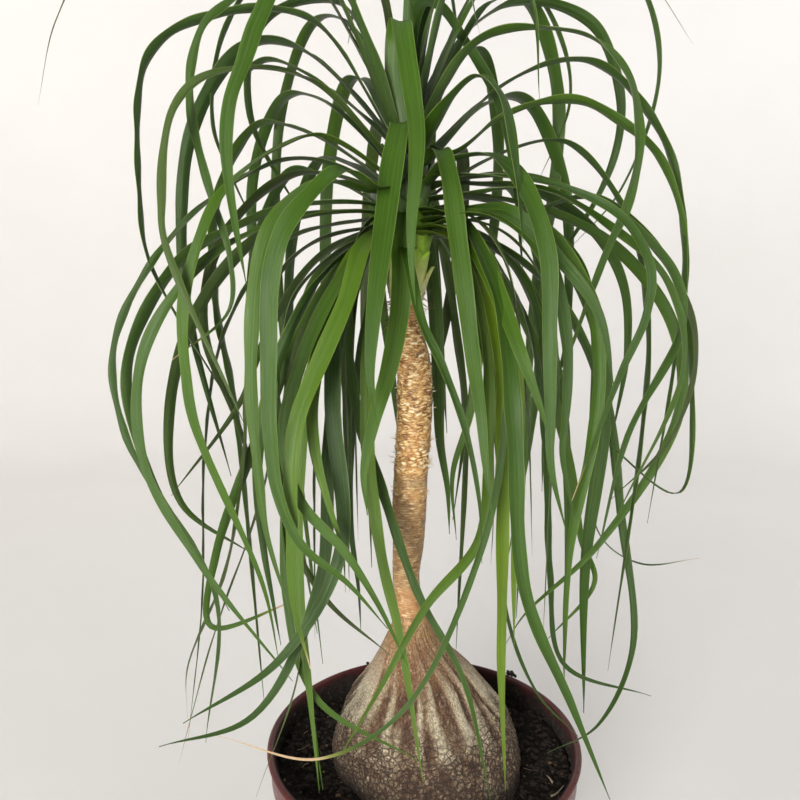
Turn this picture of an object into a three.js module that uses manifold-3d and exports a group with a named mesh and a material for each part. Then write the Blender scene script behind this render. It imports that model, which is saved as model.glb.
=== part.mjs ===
// A ponytail palm in its flowerpot. Millimetres, +Z up, origin at the centre of the pot's flat base.
// The viewer's side is -Y. The strap leaves are one body with the crown that they grow from.
import * as THREE from "three";
import { mergeVertices } from "three/addons/utils/BufferGeometryUtils.js";
import Module from "manifold-3d";

const wasm = await Module();
wasm.setup();

// Driving dimensions
const RIM_RADIUS = 150;
const POT_HEIGHT = 230;
const FOOT_RADIUS = 98;
const POT_WALL = 3.5;
const POT_FLOOR = 5;
const COLLAR_HEIGHT = 30;
const COLLAR_STEP = 5;
const LIP_HEIGHT = 7;
const LIP_REACH = 3;
const LIP_SHOULDER = [2, 0.6];
const LIP_CREST = 4;
const POT_SIDES = 48;
const FOOT_EASE = 3;
const EDGE_EASE = 1;
const COLLAR_EASE = 2;
const INNER_DRAFT = 0.5;
const INNER_STEP = 4;
const DRAIN_COUNT = 5;
const DRAIN_RADIUS = 6;
const DRAIN_CIRCLE = 62;
const DRAIN_DEPTH = 20;
const DRAIN_SIDES = 10;
const SOIL_TOP = 203;
const SOIL_RELIEF = 3;
const SOIL_EDGE = 5;
const SOIL_INSETS = [12, 28, 44];
const SEAT_GAP = 0.3;
const BED_GAP = 0.4;
const TRUNK_TOP = 646;
const WOOD_SIDES = 26;
const CROWN_AXIS_X = -17;
const SHEATH_RADIUS = 15;
const CROWN_RADIUS = 18;
const CROWN_SIDES = 12;
const BLADE_THICKNESS = 0.9;
const BASE_SPREAD = [0.6, 1];
const SPREAD_SHARE = 0.15;
const TAPER_POWER = 2.6;
const TAPER_SOFTNESS = 0.9;
const TIP_SHARE = 0.16;
const TURN_SHARES = [0.05, 0.5];
const FACE_LEAN = 0.2;
const STUB_START = 3;
const STUB_REACH = 14;
const STUB_RISE = 16;
const SPAN_SAMPLES = 12;

// A blade gets a new ring where it has bent, tapered or run on by this much since the last one.
const RING_BEND = THREE.MathUtils.degToRad(32);
const RING_TAPER = 0.6;
const RING_GAP = 160;
const SKIN_TOLERANCE = 0.05;

// Leaves placed by rule: how many, the directions they take in degrees from +X, how far they reach from
// the crown's axis, where they root, and where their tips hang.
const GOLDEN_SHARE = 0.618034;
const GOLDEN_ANGLE = 137.508;
const POT_CLEARANCE = 18;
const CREST_PLAY = 20;
const BACK_LEAVES = 20;
const BACK_HEADINGS = [10, 170];
const BACK_DRIFT = 60;
const BACK_REACH = [190, 270];
const BACK_ROOTS = [690, 785];
const BACK_RISE = [40, 135];
const BACK_TIPS = [190, 560];
const BACK_TUCK = [0.62, 0.98];
const BACK_WIDTHS = [11, 17];
const BACK_TURN = 60;
const CURTAINS = [
  { count: 5, headings: [150, 212], reaches: [48, 112] },
  { count: 4, headings: [-32, 30], reaches: [72, 150] },
];
const CURTAIN_ROOTS = [678, 706];
const CURTAIN_TIPS = [300, 500];
const CURTAIN_SWAY = 0.3;
const CURTAIN_WIDTHS = [9, 15];
const YOUNG_LEAVES = 4;
const YOUNG_ROOT = 800;
const YOUNG_REACH = [40, 100];
const YOUNG_CRESTS = [900, 955];
const YOUNG_WIDTHS = [9, 14];

// Routes as shares of the reach, each with its drop: in mm below the crest, in mm below the root, and as
// a share of the rise.
const ARCH_ROUTE = [
  [0.42, 14],
  [0.68, 3],
  [0.93, 70],
  [1, 170],
  [0.96, 270],
];
const CURTAIN_ROUTE = [
  [0.55, -14],
  [0.85, 25],
  [1, 105],
];
const YOUNG_ROUTE = [
  [0.22, 0.75],
  [0.5, 0.2],
  [0.8, 0],
  [1.15, 0.5],
];

// The woody body from its hidden underside to the top of the trunk: height, radius, centre x, centre y.
const WOOD_PROFILE = [
  [148, 34, 4, 0],
  [160, 58, 5, 0],
  [178, 77, 6, 0],
  [198, 88, 6, 0],
  [216, 90, 5.5, 0],
  [238, 86, 2.5, 0],
  [258, 78, -1, 0],
  [278, 62, -2.5, 0],
  [299, 47, -4, 0],
  [319, 32.5, -8.5, 0],
  [332, 24, -11.5, 0],
  [346, 18, -12.5, 0],
  [358, 15, -13.5, -1],
  [370, 13.5, -15, -2],
  [388, 13, -17, -2],
  [424, 15, -15, -2],
  [461, 16.3, -14, -1],
  [497, 16, -12.5, 0],
  [534, 16.5, -10, 0],
  [562, 16.5, -9.5, 0],
  [590, 16, -10, 0],
  [615, 13.5, -13.5, 0],
  [630, 12, -16, 0],
  [TRUNK_TOP, 13.5, CROWN_AXIS_X, 0],
];
const CAUDEX_TOP = 340;
const LUMP_DEPTH = 0.05;
const LUMP_FADE = 60;

// Lumps round the caudex, each with its folds round the axis, its rise in mm a radian and its start.
const LUMPS = [
  [3, 40, 0],
  [5, -23, 1],
];

// Waves on the soil, each with its run in x and in y in mm a radian.
const SOIL_WAVES = [
  [13, 21],
  [-17, 11],
];

// The crown's stem: height above the trunk and radius.
const CROWN_PROFILE = [
  [SEAT_GAP, 0],
  [SEAT_GAP, SHEATH_RADIUS - 2],
  [10, SHEATH_RADIUS],
  [36, SHEATH_RADIUS + 1],
  [62, CROWN_RADIUS],
  [105, CROWN_RADIUS],
  [145, CROWN_RADIUS - 6],
  [185, 0],
];

// Leaves measured one by one. A row holds the blade's width, the height of its root on the crown, the
// turn of its face in degrees, and the points that it passes through on its way out.
const MEASURED_LEAVES = [
  // High arcs on the left
  [13.5, 775, 15, [-91, 5, 881], [-133, 8, 896], [-181, 10, 892], [-219, 8, 878], [-240, 4, 855],
    [-248, 0, 820], [-249, -4, 786], [-248, -8, 741], [-241, -14, 685], [-160, -30, 540]],
  [16, 750, -25, [-89, -20, 825], [-119, -40, 832], [-155, -55, 828], [-182, -60, 817],
    [-199, -62, 797], [-207, -65, 767], [-209, -70, 726], [-207, -74, 695], [-145, -90, 550]],
  [12, 765, 20, [-100, 70, 855], [-155, 90, 880], [-187, 105, 857], [-200, 120, 802], [-205, 135, 749]],
  [18.5, 780, -66, [-80, -56, 908], [-108, -66, 896], [-129, -74, 858], [-139, -81, 827],
    [-149, -88, 797], [-152, -93, 767], [-150, -98, 737], [-145, -105, 707], [-135, -118, 660]],
  [13, 785, 30, [-70, 30, 905], [-110, 40, 915], [-152, 50, 895], [-167, 75, 825], [-125, 120, 735]],
  [9.5, 790, 30, [-85, 55, 940], [-140, 60, 950], [-192, 85, 905], [-212, 110, 825], [-197, 130, 772],
    [-182, 132, 738], [-166, 134, 701]],
  [15, 780, -56, [-90, -25, 915], [-128, -29, 909], [-158, -31, 888], [-180, -31, 871],
    [-191, -31, 845], [-194, -34, 808], [-187, -40, 772], [-177, -46, 736], [-161, -54, 683],
    [-163, -56, 640], [-210, -60, 600]],
  [11, 795, -20, [-120, 20, 950], [-210, 20, 970], [-290, 20, 940], [-325, 20, 890], [-345, 20, 820]],
  // Wide arcs on the left that hang to the pot
  [13, 735, -50, [-90, -25, 785], [-120, -32, 775], [-146, -38, 758], [-169, -54, 730],
    [-182, -64, 698], [-193, -69, 660], [-197, -70, 629], [-196, -70, 593], [-191, -68, 548],
    [-140, -60, 405], [-128, -60, 335]],
  [16, 725, -40, [-105, -5, 770], [-155, -10, 755], [-220, -20, 700], [-272, -20, 610], [-262, -30, 530],
    [-185, -45, 390], [-195, -60, 260]],
  [15, 722, 10, [-95, 20, 762], [-140, 40, 755], [-199, 62, 700], [-217, 68, 620], [-190, 80, 525],
    [-168, 90, 440]],
  [16, 712, 30, [-110, 5, 732], [-165, 15, 716], [-225, 20, 683], [-275, 15, 590], [-258, 0, 500],
    [-180, -20, 365]],
  [14, 705, -50, [-110, -20, 718], [-180, -50, 682], [-232, -60, 608], [-235, -68, 520], [-189, -80, 435],
    [-112, -90, 335]],
  // Folded leaves that hang down the front
  [18, 765, 36, [-19, -14, 797], [-26, -17, 830], [-26, -21, 862], [-23, -31, 873], [-20, -42, 856],
    [-15, -54, 821], [-10, -66, 780], [-11, -78, 744], [-14, -86, 710], [-14, -92, 675], [-11, -96, 645]],
  [20, 755, -30, [-18, -22, 789], [-21, -34, 794], [-28, -48, 761], [-34, -66, 715], [-40, -90, 664],
    [-44, -105, 623], [-45, -113, 593], [-40, -118, 556]],
  [18.5, 708, -5, [-21, -22, 713], [-22, -30, 722], [-21, -42, 690], [-23, -58, 641], [-32, -76, 593],
    [-44, -94, 552], [-51, -106, 515], [-48, -112, 484]],
  [17, 742, 25, [-2, -30, 762], [9, -48, 769], [16, -60, 746], [22, -74, 699], [28, -88, 649],
    [33, -101, 603], [38, -115, 563], [41, -124, 527], [46, -132, 487]],
  [16, 728, 25, [-1, -14, 746], [16, -34, 761], [41, -55, 764], [57, -85, 752], [72, -110, 723],
    [83, -125, 681], [84, -134, 628], [85, -138, 578], [86, -143, 531], [98, -147, 481]],
  [17, 694, 35, [10, -22, 713], [24, -38, 715], [38, -58, 692], [55, -84, 650], [68, -106, 610],
    [81, -116, 573], [90, -122, 545]],
  [15, 722, -60, [-45, -72, 737], [-66, -100, 744], [-86, -114, 726], [-106, -124, 698],
    [-115, -130, 663], [-117, -134, 613], [-117, -138, 556], [-111, -141, 507], [-95, -142, 471],
    [-61, -142, 441], [-32, -142, 406]],
  [17.5, 718, -20, [-55, -60, 736], [-79, -90, 737], [-109, -110, 715], [-124, -119, 679],
    [-130, -125, 627], [-131, -128, 569], [-127, -130, 520], [-123, -130, 478], [-107, -130, 414]],
  [16, 684, -20, [-41, -46, 704], [-52, -65, 691], [-64, -87, 649], [-82, -106, 605], [-98, -122, 564],
    [-103, -130, 532], [-103, -134, 480], [-103, -136, 426], [-91, -136, 371]],
  // High arcs on the right
  [19, 775, 58, [11, -15, 822], [44, -15, 863], [93, -17, 872], [138, -19, 863], [164, -25, 834],
    [172, -33, 800], [172, -39, 766], [163, -47, 728], [144, -56, 687], [105, -70, 580]],
  [14, 785, -70, [14, 50, 857], [42, 55, 897], [85, 64, 923], [127, 70, 922], [162, 77, 907],
    [182, 84, 879], [195, 92, 836], [194, 102, 796], [180, 112, 753], [154, 122, 707],
    [132, 128, 665]],
  [15, 765, -20, [23, 5, 776], [61, 9, 804], [100, 12, 820], [136, 13, 822], [172, 16, 806],
    [207, 20, 780], [231, 26, 739], [245, 31, 687], [247, 33, 655]],
  [9.5, 788, -30, [55, 75, 938], [98, 85, 946], [136, 100, 902], [150, 118, 848], [125, 140, 775]],
  [16, 790, 35, [-16, 2, 853], [-5, 14, 904], [11, 22, 904], [36, 27, 874], [61, 31, 836], [77, 34, 789],
    [86, 38, 736], [94, 42, 672]],
  [17.5, 750, 30, [15, -65, 802], [36, -80, 816], [52, -88, 800], [62, -105, 745], [66, -120, 690]],
  [9.5, 790, -30, [70, 60, 962], [150, 70, 980], [205, 80, 945], [232, 95, 870], [205, 115, 762],
    [155, 130, 700]],
  [9.5, 795, 20, [65, 20, 940], [128, 20, 965], [185, 20, 935], [235, 20, 872]],
  [9.5, 798, 15, [25, -40, 915], [58, -40, 924], [82, -40, 885], [90, -40, 810]],
  // Wide arcs on the right
  [16, 725, 40, [65, -5, 757], [118, -10, 746], [177, -10, 714], [217, -14, 668], [236, -20, 605],
    [215, -30, 530], [160, -40, 475]],
  [14, 718, 40, [30, -15, 738], [95, -30, 741], [152, -40, 708], [198, -45, 665], [215, -48, 595],
    [160, -60, 465]],
  [10, 735, 50, [20, -32, 752], [75, -44, 747], [115, -56, 736], [152, -72, 712], [170, -86, 675],
    [167, -92, 638], [148, -95, 592], [110, -110, 495]],
  [13, 732, -42, [50, 20, 752], [105, 40, 748], [162, 50, 713], [193, 56, 665], [202, 62, 600],
    [193, 70, 510]],
  [15, 728, 45, [85, -20, 752], [160, -30, 720], [207, -35, 672], [215, -40, 628], [170, -50, 535],
    [145, -60, 430]],
  [15, 706, 50, [20, -35, 722], [60, -82, 716], [96, -100, 680], [124, -112, 640], [136, -120, 585]],
  [13, 716, -20, [40, 35, 742], [105, 75, 729], [157, 90, 688], [178, 100, 618], [180, 110, 500]],
  [16, 704, -60, [34, -50, 718], [86, -76, 706], [123, -88, 653], [132, -92, 595], [127, -95, 532],
    [114, -97, 463], [111, -97, 409], [111, -97, 342]],
  [14, 708, 35, [21, -58, 719], [58, -85, 711], [90, -101, 673], [103, -105, 619], [104, -107, 569],
    [102, -108, 531], [113, -108, 479]],
  // Leaves that hang low on the right
  [17.5, 686, 20, [7, -32, 705], [31, -49, 689], [49, -60, 649], [59, -67, 592], [61, -74, 528],
    [61, -80, 453], [61, -86, 387], [61, -88, 348], [66, -95, 240]],
  [16, 690, 25, [12, -42, 709], [40, -61, 690], [62, -74, 633], [71, -80, 570], [71, -85, 505],
    [70, -89, 423], [71, -92, 368]],
  [18.5, 704, -50, [40, 15, 728], [105, 30, 708], [162, 40, 635], [176, 44, 540], [165, 50, 380],
    [172, 60, 215]],
  [13, 694, -30, [40, 30, 712], [120, 45, 660], [175, 45, 560], [194, 35, 440], [200, 0, 320],
    [160, -35, 262], [108, -60, 250]],
  [13, 718, -65, [50, 20, 742], [165, 40, 708], [240, 50, 628], [248, 40, 540], [170, 25, 412],
    [98, 15, 345], [80, 10, 318]],
  [11, 710, 30, [40, 20, 731], [130, 50, 684], [170, 60, 605], [168, 60, 500], [182, 60, 410],
    [225, 60, 380], [285, 60, 386]],
  [13, 698, 70, [30, 15, 716], [90, 30, 645], [118, 40, 520], [127, 40, 380], [145, 40, 280],
    [235, 40, 246]],
  [17.5, 696, 10, [25, -45, 713], [54, -85, 652], [62, -118, 560], [72, -128, 430], [110, -135, 338],
    [140, -140, 265]],
  [11, 686, 20, [20, -12, 704], [50, -22, 645], [65, -32, 520], [70, -45, 380], [98, -55, 305],
    [135, -60, 266]],
  [13, 698, -40, [35, 40, 717], [95, 80, 678], [143, 110, 575], [160, 115, 450], [165, 120, 220]],
  [13, 690, -35, [30, 20, 708], [105, 55, 615], [147, 60, 490], [163, 60, 405], [178, 60, 360],
    [130, 60, 296]],
  // Leaves that hang low before the trunk
  [13, 684, -25, [-50, -15, 703], [-66, -28, 640], [-58, -40, 550], [-42, -45, 500], [-8, -70, 405],
    [30, -95, 338], [50, -120, 250]],
  [14, 686, 25, [20, -20, 704], [46, -45, 635], [50, -62, 540], [42, -82, 455], [-2, -100, 405],
    [-42, -125, 342], [-70, -140, 300]],
  [15, 676, -10, [-35, -20, 695], [-47, -35, 625], [-50, -52, 535], [-38, -78, 440], [-22, -104, 378],
    [-5, -140, 280]],
  [7, 698, 40, [25, -35, 717], [60, -60, 648], [60, -86, 545], [40, -98, 445], [-20, -124, 330],
    [-85, -138, 298], [-160, -150, 325]],
  [13, 690, 50, [-50, 15, 706], [-102, 30, 645], [-130, 30, 545], [-132, 10, 445], [-92, -20, 378],
    [-32, -45, 335]],
  [13, 684, -85, [-50, 10, 702], [-92, 20, 625], [-122, 10, 515], [-126, -25, 385], [-98, -60, 305],
    [-8, -112, 278]],
  [15, 686, -50, [-45, -10, 703], [-80, -20, 648], [-107, -32, 540], [-112, -45, 420], [-100, -68, 300],
    [-92, -85, 232]],
  [13, 694, 55, [-50, 25, 711], [-102, 40, 668], [-132, 45, 545], [-132, 25, 420], [-108, -30, 300],
    [-88, -92, 238]],
  [13, 686, -25, [-55, 5, 703], [-117, 12, 655], [-138, 15, 540], [-130, -12, 430], [-112, -48, 330],
    [-145, -90, 230]],
  [16, 688, -15, [-43, -40, 701], [-62, -58, 681], [-81, -82, 629], [-90, -98, 576], [-88, -107, 534],
    [-76, -116, 490], [-63, -122, 452]],
  [13, 682, -25, [-48, -44, 696], [-75, -72, 657], [-100, -95, 599], [-111, -110, 543], [-99, -120, 499],
    [-64, -128, 460], [-39, -132, 420], [-16, -134, 370]],
  // Leaves that hang behind the front ones
  [12, 690, 10, [-34, 28, 704], [-55, 36, 621], [-70, 40, 523], [-72, 40, 433], [-64, 34, 363],
    [-62, 32, 319]],
  [15, 690, -15, [0, 40, 705], [10, 50, 649], [15, 56, 571], [17, 56, 510], [25, 54, 460], [27, 50, 415]],
  [12, 700, -15, [15, 45, 710], [43, 60, 663], [55, 65, 600], [47, 62, 535], [30, 56, 475],
    [34, 50, 409]],
  [13, 692, 15, [16, -22, 708], [36, -36, 661], [48, -43, 607], [58, -48, 544], [63, -50, 479],
    [64, -50, 425]],
  [13, 694, 75, [-53, -8, 701], [-95, -10, 664], [-132, -15, 592], [-150, -20, 507], [-146, -26, 430],
    [-138, -30, 380], [-131, -33, 338]],
  // Leaves that hang low on the left
  [15, 692, -35, [-55, 10, 712], [-115, 20, 692], [-162, 28, 615], [-173, 30, 500], [-195, 34, 385],
    [-240, 40, 275], [-242, 40, 222]],
  [15, 688, -30, [-50, 30, 707], [-102, 55, 668], [-146, 74, 565], [-162, 70, 460], [-220, 65, 295],
    [-260, 60, 156]],
  [13, 702, -25, [-60, 40, 722], [-140, 80, 704], [-206, 104, 615], [-232, 108, 490], [-236, 90, 330],
    [-255, 80, 172]],
  [11, 692, 20, [-55, 35, 711], [-112, 75, 682], [-162, 84, 605], [-186, 78, 545], [-255, 60, 452]],
  [16, 706, 35, [-75, 20, 728], [-147, 45, 714], [-217, 60, 645], [-258, 78, 540], [-255, 92, 435],
    [-185, 110, 372]],
  [13, 688, 45, [-50, 15, 706], [-102, 28, 645], [-155, 38, 530], [-205, 36, 400], [-212, 33, 325],
    [-120, 30, 356]],
  [15, 690, -30, [-40, -35, 707], [-70, -56, 660], [-76, -84, 570], [-70, -100, 450], [-118, -112, 366],
    [-195, -120, 316]],
  [14, 684, -30, [-45, -25, 700], [-71, -50, 625], [-81, -72, 520], [-88, -88, 420], [-142, -106, 314],
    [-215, -120, 296]],
  // A slim leaf that crosses the trunk from under the middle one
  [9.5, 682, -25, [-18, -45, 690], [-15, -78, 672], [-6, -98, 632], [10, -110, 597], [26, -120, 552],
    [36, -130, 501], [38, -138, 455]],
];

// A fixed sequence of numbers from 0 to 1, the same on every run.
function drawFrom(seed) {
  let state = seed;
  return () => {
    state = (state * 1664525 + 1013904223) % 4294967296;
    return state / 4294967296;
  };
}

function between([low, high], share) {
  return low + (high - low) * share;
}

function placeAround(heading, reach, height) {
  const angle = THREE.MathUtils.degToRad(heading);
  return [CROWN_AXIS_X + reach * Math.cos(angle), reach * Math.sin(angle), height];
}

// Leaves on the far side, spread by the golden angle. The older ones root lower and arch less.
function backLeaves() {
  const draw = drawFrom(7);
  return Array.from({ length: BACK_LEAVES }, (_, i) => {
    const youth = i / (BACK_LEAVES - 1);
    const heading = between(BACK_HEADINGS, (i * GOLDEN_SHARE) % 1);
    const drift = BACK_DRIFT * (draw() - 0.5);
    const reach = between(BACK_REACH, draw());
    const root = between(BACK_ROOTS, youth);
    const crest = root + between(BACK_RISE, youth) + CREST_PLAY * draw();
    const tip = between(BACK_TIPS, draw());
    const tuck = between(BACK_TUCK, draw());
    const overPot = tuck * reach < RIM_RADIUS + POT_CLEARANCE;
    const stations = [
      ...ARCH_ROUTE.map(([share, drop]) => [share, crest - drop]),
      [tuck, Math.max(tip, overPot ? POT_HEIGHT + POT_CLEARANCE : 0)],
    ];
    const points = stations.map(([share, height], k) =>
      placeAround(heading + (drift * k) / stations.length, reach * share, height),
    );
    return [between(BACK_WIDTHS, draw()), root, BACK_TURN * (draw() - 0.5), ...points];
  });
}

// Old leaves that root low and hang close in, to the left and right of the trunk.
function curtainLeaves() {
  const draw = drawFrom(19);
  return CURTAINS.flatMap(({ count, headings, reaches }) =>
    Array.from({ length: count }, (_, i) => {
      const heading = between(headings, (i * GOLDEN_SHARE) % 1);
      const reach = between(reaches, draw());
      const root = between(CURTAIN_ROOTS, draw());
      const tip = between(CURTAIN_TIPS, draw());
      const sway = CURTAIN_SWAY * (draw() - 0.5);
      const stations = [
        ...CURTAIN_ROUTE.map(([share, drop]) => [share, root - drop]),
        [1 + sway / 2, (root + tip) / 2 - CREST_PLAY],
        [1 + sway, tip],
      ];
      const points = stations.map(([share, height]) => placeAround(heading, reach * share, height));
      return [between(CURTAIN_WIDTHS, draw()), root, BACK_TURN * (draw() - 0.5), ...points];
    }),
  );
}

// Young leaves that still stand up at the middle of the crown.
function youngLeaves() {
  const draw = drawFrom(3);
  return Array.from({ length: YOUNG_LEAVES }, (_, i) => {
    const heading = GOLDEN_ANGLE * i;
    const reach = between(YOUNG_REACH, draw());
    const crest = between(YOUNG_CRESTS, draw());
    const points = YOUNG_ROUTE.map(([share, drop]) =>
      placeAround(heading, reach * share, between([YOUNG_ROOT + STUB_RISE, crest], 1 - drop)),
    );
    return [between(YOUNG_WIDTHS, draw()), YOUNG_ROOT, BACK_TURN * (draw() - 0.5), ...points];
  });
}

function geometryFrom(points, faces) {
  const geometry = new THREE.BufferGeometry();
  geometry.setAttribute("position", new THREE.Float32BufferAttribute(points.flat(), 3));
  geometry.setIndex(faces.flat());
  return geometry;
}

function solidFrom(geometry) {
  const bare = geometry.clone();
  bare.deleteAttribute("normal");
  bare.deleteAttribute("uv");
  const merged = mergeVertices(bare, 1e-4);
  return new wasm.Manifold(
    new wasm.Mesh({
      numProp: 3,
      vertProperties: new Float32Array(merged.attributes.position.array),
      triVerts: new Uint32Array(merged.index.array),
    }),
  );
}

function geometryOf(solid) {
  const { vertProperties, triVerts } = solid.getMesh();
  const geometry = new THREE.BufferGeometry();
  geometry.setAttribute("position", new THREE.BufferAttribute(vertProperties, 3));
  geometry.setIndex(new THREE.BufferAttribute(triVerts, 1));
  return geometry;
}

// Closed rings of equal length, joined in order and capped with a fan at both ends.
function skinRings(rings) {
  const sides = rings[0].length;
  const points = rings.flat();
  const faces = [];
  for (let r = 0; r + 1 < rings.length; r += 1) {
    for (let i = 0; i < sides; i += 1) {
      const a = r * sides + i;
      const b = r * sides + ((i + 1) % sides);
      faces.push([a, b, b + sides], [a, b + sides, a + sides]);
    }
  }
  const last = (rings.length - 1) * sides;
  for (let i = 1; i + 1 < sides; i += 1) {
    faces.push([0, i + 1, i], [last, last + i, last + i + 1]);
  }
  return geometryFrom(points, faces);
}

// The profile runs up the outside and down the inside, closed on the axis.
function latheUp(profile, sides) {
  const outline = profile.map(([radius, height]) => new THREE.Vector2(radius, height));
  const geometry = new THREE.LatheGeometry(outline, sides);
  geometry.rotateX(Math.PI / 2);
  return geometry;
}

function potSolid() {
  const collarFoot = POT_HEIGHT - COLLAR_HEIGHT;
  const collarRadius = RIM_RADIUS - LIP_REACH;
  const bodyTop = collarRadius - COLLAR_STEP;
  const lipFoot = POT_HEIGHT - LIP_HEIGHT;
  const innerRadius = collarRadius - POT_WALL - EDGE_EASE;
  const profile = [
    [0, 0],
    [FOOT_RADIUS - FOOT_EASE, 0],
    [FOOT_RADIUS, FOOT_EASE],
    [bodyTop, collarFoot - COLLAR_EASE],
    [collarRadius - EDGE_EASE, collarFoot],
    [collarRadius, lipFoot],
    [RIM_RADIUS - EDGE_EASE, lipFoot + EDGE_EASE],
    [RIM_RADIUS, POT_HEIGHT - LIP_HEIGHT / 2],
    [RIM_RADIUS - LIP_SHOULDER[0], POT_HEIGHT - LIP_SHOULDER[1]],
    [RIM_RADIUS - LIP_CREST, POT_HEIGHT],
    [innerRadius, POT_HEIGHT - COLLAR_EASE],
    [innerRadius - INNER_DRAFT, collarFoot],
    [bodyTop - POT_WALL, collarFoot - INNER_STEP],
    [FOOT_RADIUS - POT_WALL, POT_FLOOR],
    [0, POT_FLOOR],
  ];
  let shell = solidFrom(latheUp(profile, POT_SIDES));
  for (let i = 0; i < DRAIN_COUNT; i += 1) {
    const angle = (i * 2 * Math.PI) / DRAIN_COUNT;
    const drain = new THREE.CylinderGeometry(DRAIN_RADIUS, DRAIN_RADIUS, DRAIN_DEPTH, DRAIN_SIDES);
    drain.rotateX(Math.PI / 2);
    drain.translate(DRAIN_CIRCLE * Math.cos(angle), DRAIN_CIRCLE * Math.sin(angle), 0);
    shell = shell.subtract(solidFrom(drain));
  }
  return shell;
}

// The swollen base has broad lumps and shallow folds that fade out towards the trunk.
function woodRings(grow) {
  return WOOD_PROFILE.map(([height, radius, centreX, centreY]) => {
    const ring = [];
    const swell = THREE.MathUtils.clamp((CAUDEX_TOP - height) / LUMP_FADE, 0, 1);
    for (let i = 0; i < WOOD_SIDES; i += 1) {
      const angle = (i * 2 * Math.PI) / WOOD_SIDES;
      const waves = LUMPS.map(([folds, rise, start]) => Math.sin(folds * angle + height / rise + start));
      const lump = waves.reduce((sum, wave) => sum + wave, 0) / waves.length;
      const r = radius * (1 + LUMP_DEPTH * swell * lump) + grow;
      ring.push([centreX + r * Math.cos(angle), centreY + r * Math.sin(angle), height]);
    }
    return ring;
  });
}

// The soil fills the pot and takes the underside of the woody base in a bowl.
function soilSolid() {
  const collarFoot = POT_HEIGHT - COLLAR_HEIGHT;
  const wallTop = RIM_RADIUS - LIP_REACH - POT_WALL - EDGE_EASE - INNER_DRAFT - SEAT_GAP;
  const wallFoot = RIM_RADIUS - LIP_REACH - COLLAR_STEP - POT_WALL - SEAT_GAP;
  const profile = [
    [0, POT_FLOOR + SEAT_GAP],
    [FOOT_RADIUS - POT_WALL - SEAT_GAP, POT_FLOOR + SEAT_GAP],
    [wallFoot, collarFoot - INNER_STEP],
    [wallTop - EDGE_EASE, collarFoot],
    [wallTop - EDGE_EASE, SOIL_TOP],
    ...SOIL_INSETS.map((inset) => [wallTop - inset, SOIL_TOP]),
    [0, SOIL_TOP],
  ];
  const mound = latheUp(profile, POT_SIDES);
  const place = mound.attributes.position;
  for (let i = 0; i < place.count; i += 1) {
    const [x, y, z] = [place.getX(i), place.getY(i), place.getZ(i)];
    const inFromWall = wallTop - Math.hypot(x, y);
    if (z > SOIL_TOP - EDGE_EASE && inFromWall > SOIL_EDGE) {
      const waves = SOIL_WAVES.map(([runX, runY]) => Math.sin(x / runX + y / runY));
      place.setZ(i, z + (SOIL_RELIEF * waves.reduce((sum, wave) => sum + wave, 0)) / waves.length);
    }
  }
  const rings = woodRings(BED_GAP);
  const bed = rings[0].map(([x, y, z]) => [x, y, z - BED_GAP]);
  const socket = solidFrom(skinRings([bed, ...rings.slice(1)]));
  return solidFrom(mound).subtract(socket);
}

// Finely spaced places, directions and faces along a leaf. The face is carried along without twisting,
// and turned by the row's own angle over the first half.
function leafFrames([width, root, turn, ...points]) {
  const first = new THREE.Vector2(points[0][0] - CROWN_AXIS_X, points[0][1]).normalize();
  const stub = (reach, rise) =>
    new THREE.Vector3(CROWN_AXIS_X + first.x * reach, first.y * reach, root + rise);
  const stubs = [stub(STUB_START, 0), stub(STUB_REACH, STUB_RISE)];
  const route = new THREE.CatmullRomCurve3(
    [...stubs, ...points.map((p) => new THREE.Vector3(...p))],
    false,
    "centripetal",
  );
  const count = (points.length + 1) * SPAN_SAMPLES;
  const places = Array.from({ length: count + 1 }, (_, i) => route.getPoint(i / count));
  const distances = [0];
  for (let i = 1; i <= count; i += 1) {
    distances.push(distances[i - 1] + places[i].distanceTo(places[i - 1]));
  }
  const face = new THREE.Vector3(-first.x, -first.y, FACE_LEAN).normalize();
  return places.map((place, i) => {
    const ahead = places[Math.min(i + 1, count)].clone().sub(places[Math.max(i - 1, 0)]).normalize();
    face.addScaledVector(ahead, -face.dot(ahead)).normalize();
    const share = distances[i] / distances[count];
    const roll = THREE.MathUtils.degToRad(turn) * THREE.MathUtils.smoothstep(share, ...TURN_SHARES);
    const turned = face.clone().applyAxisAngle(ahead, roll);
    const across = new THREE.Vector3().crossVectors(turned, ahead);
    const wide = bladeWidth(width, share);
    return { place, ahead, across, face: turned, distance: distances[i], width: wide };
  });
}

// Widest a little way out, then even for most of its length, and tapered to the tip.
function bladeWidth(width, share) {
  const spread = between(BASE_SPREAD, Math.min(1, share / SPREAD_SHARE));
  const taper = Math.pow(1 - Math.pow(share, TAPER_POWER), TAPER_SOFTNESS);
  return width * Math.max(TIP_SHARE, spread * taper);
}

function needsRing(frame, last) {
  const bent = Math.max(frame.ahead.angleTo(last.ahead), frame.across.angleTo(last.across));
  const tapered = Math.abs(frame.width - last.width) / Math.max(frame.width, last.width);
  return bent > RING_BEND || tapered > RING_TAPER || frame.distance - last.distance > RING_GAP;
}

function leafSolid(row) {
  const frames = leafFrames(row);
  const chosen = [frames[0]];
  for (const frame of frames) {
    if (needsRing(frame, chosen.at(-1))) chosen.push(frame);
  }
  if (chosen.at(-1) !== frames.at(-1)) chosen.push(frames.at(-1));
  const lift = BLADE_THICKNESS / 2;
  const rings = chosen.map(({ place, across, face, width }) => {
    const half = width / 2;
    const corners = [
      [-half, -lift],
      [half, -lift],
      [half, lift],
      [-half, lift],
    ];
    return corners.map(([side, up]) =>
      place.clone().addScaledVector(across, side).addScaledVector(face, up).toArray(),
    );
  });
  return solidFrom(bladeSkin(rings));
}

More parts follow.
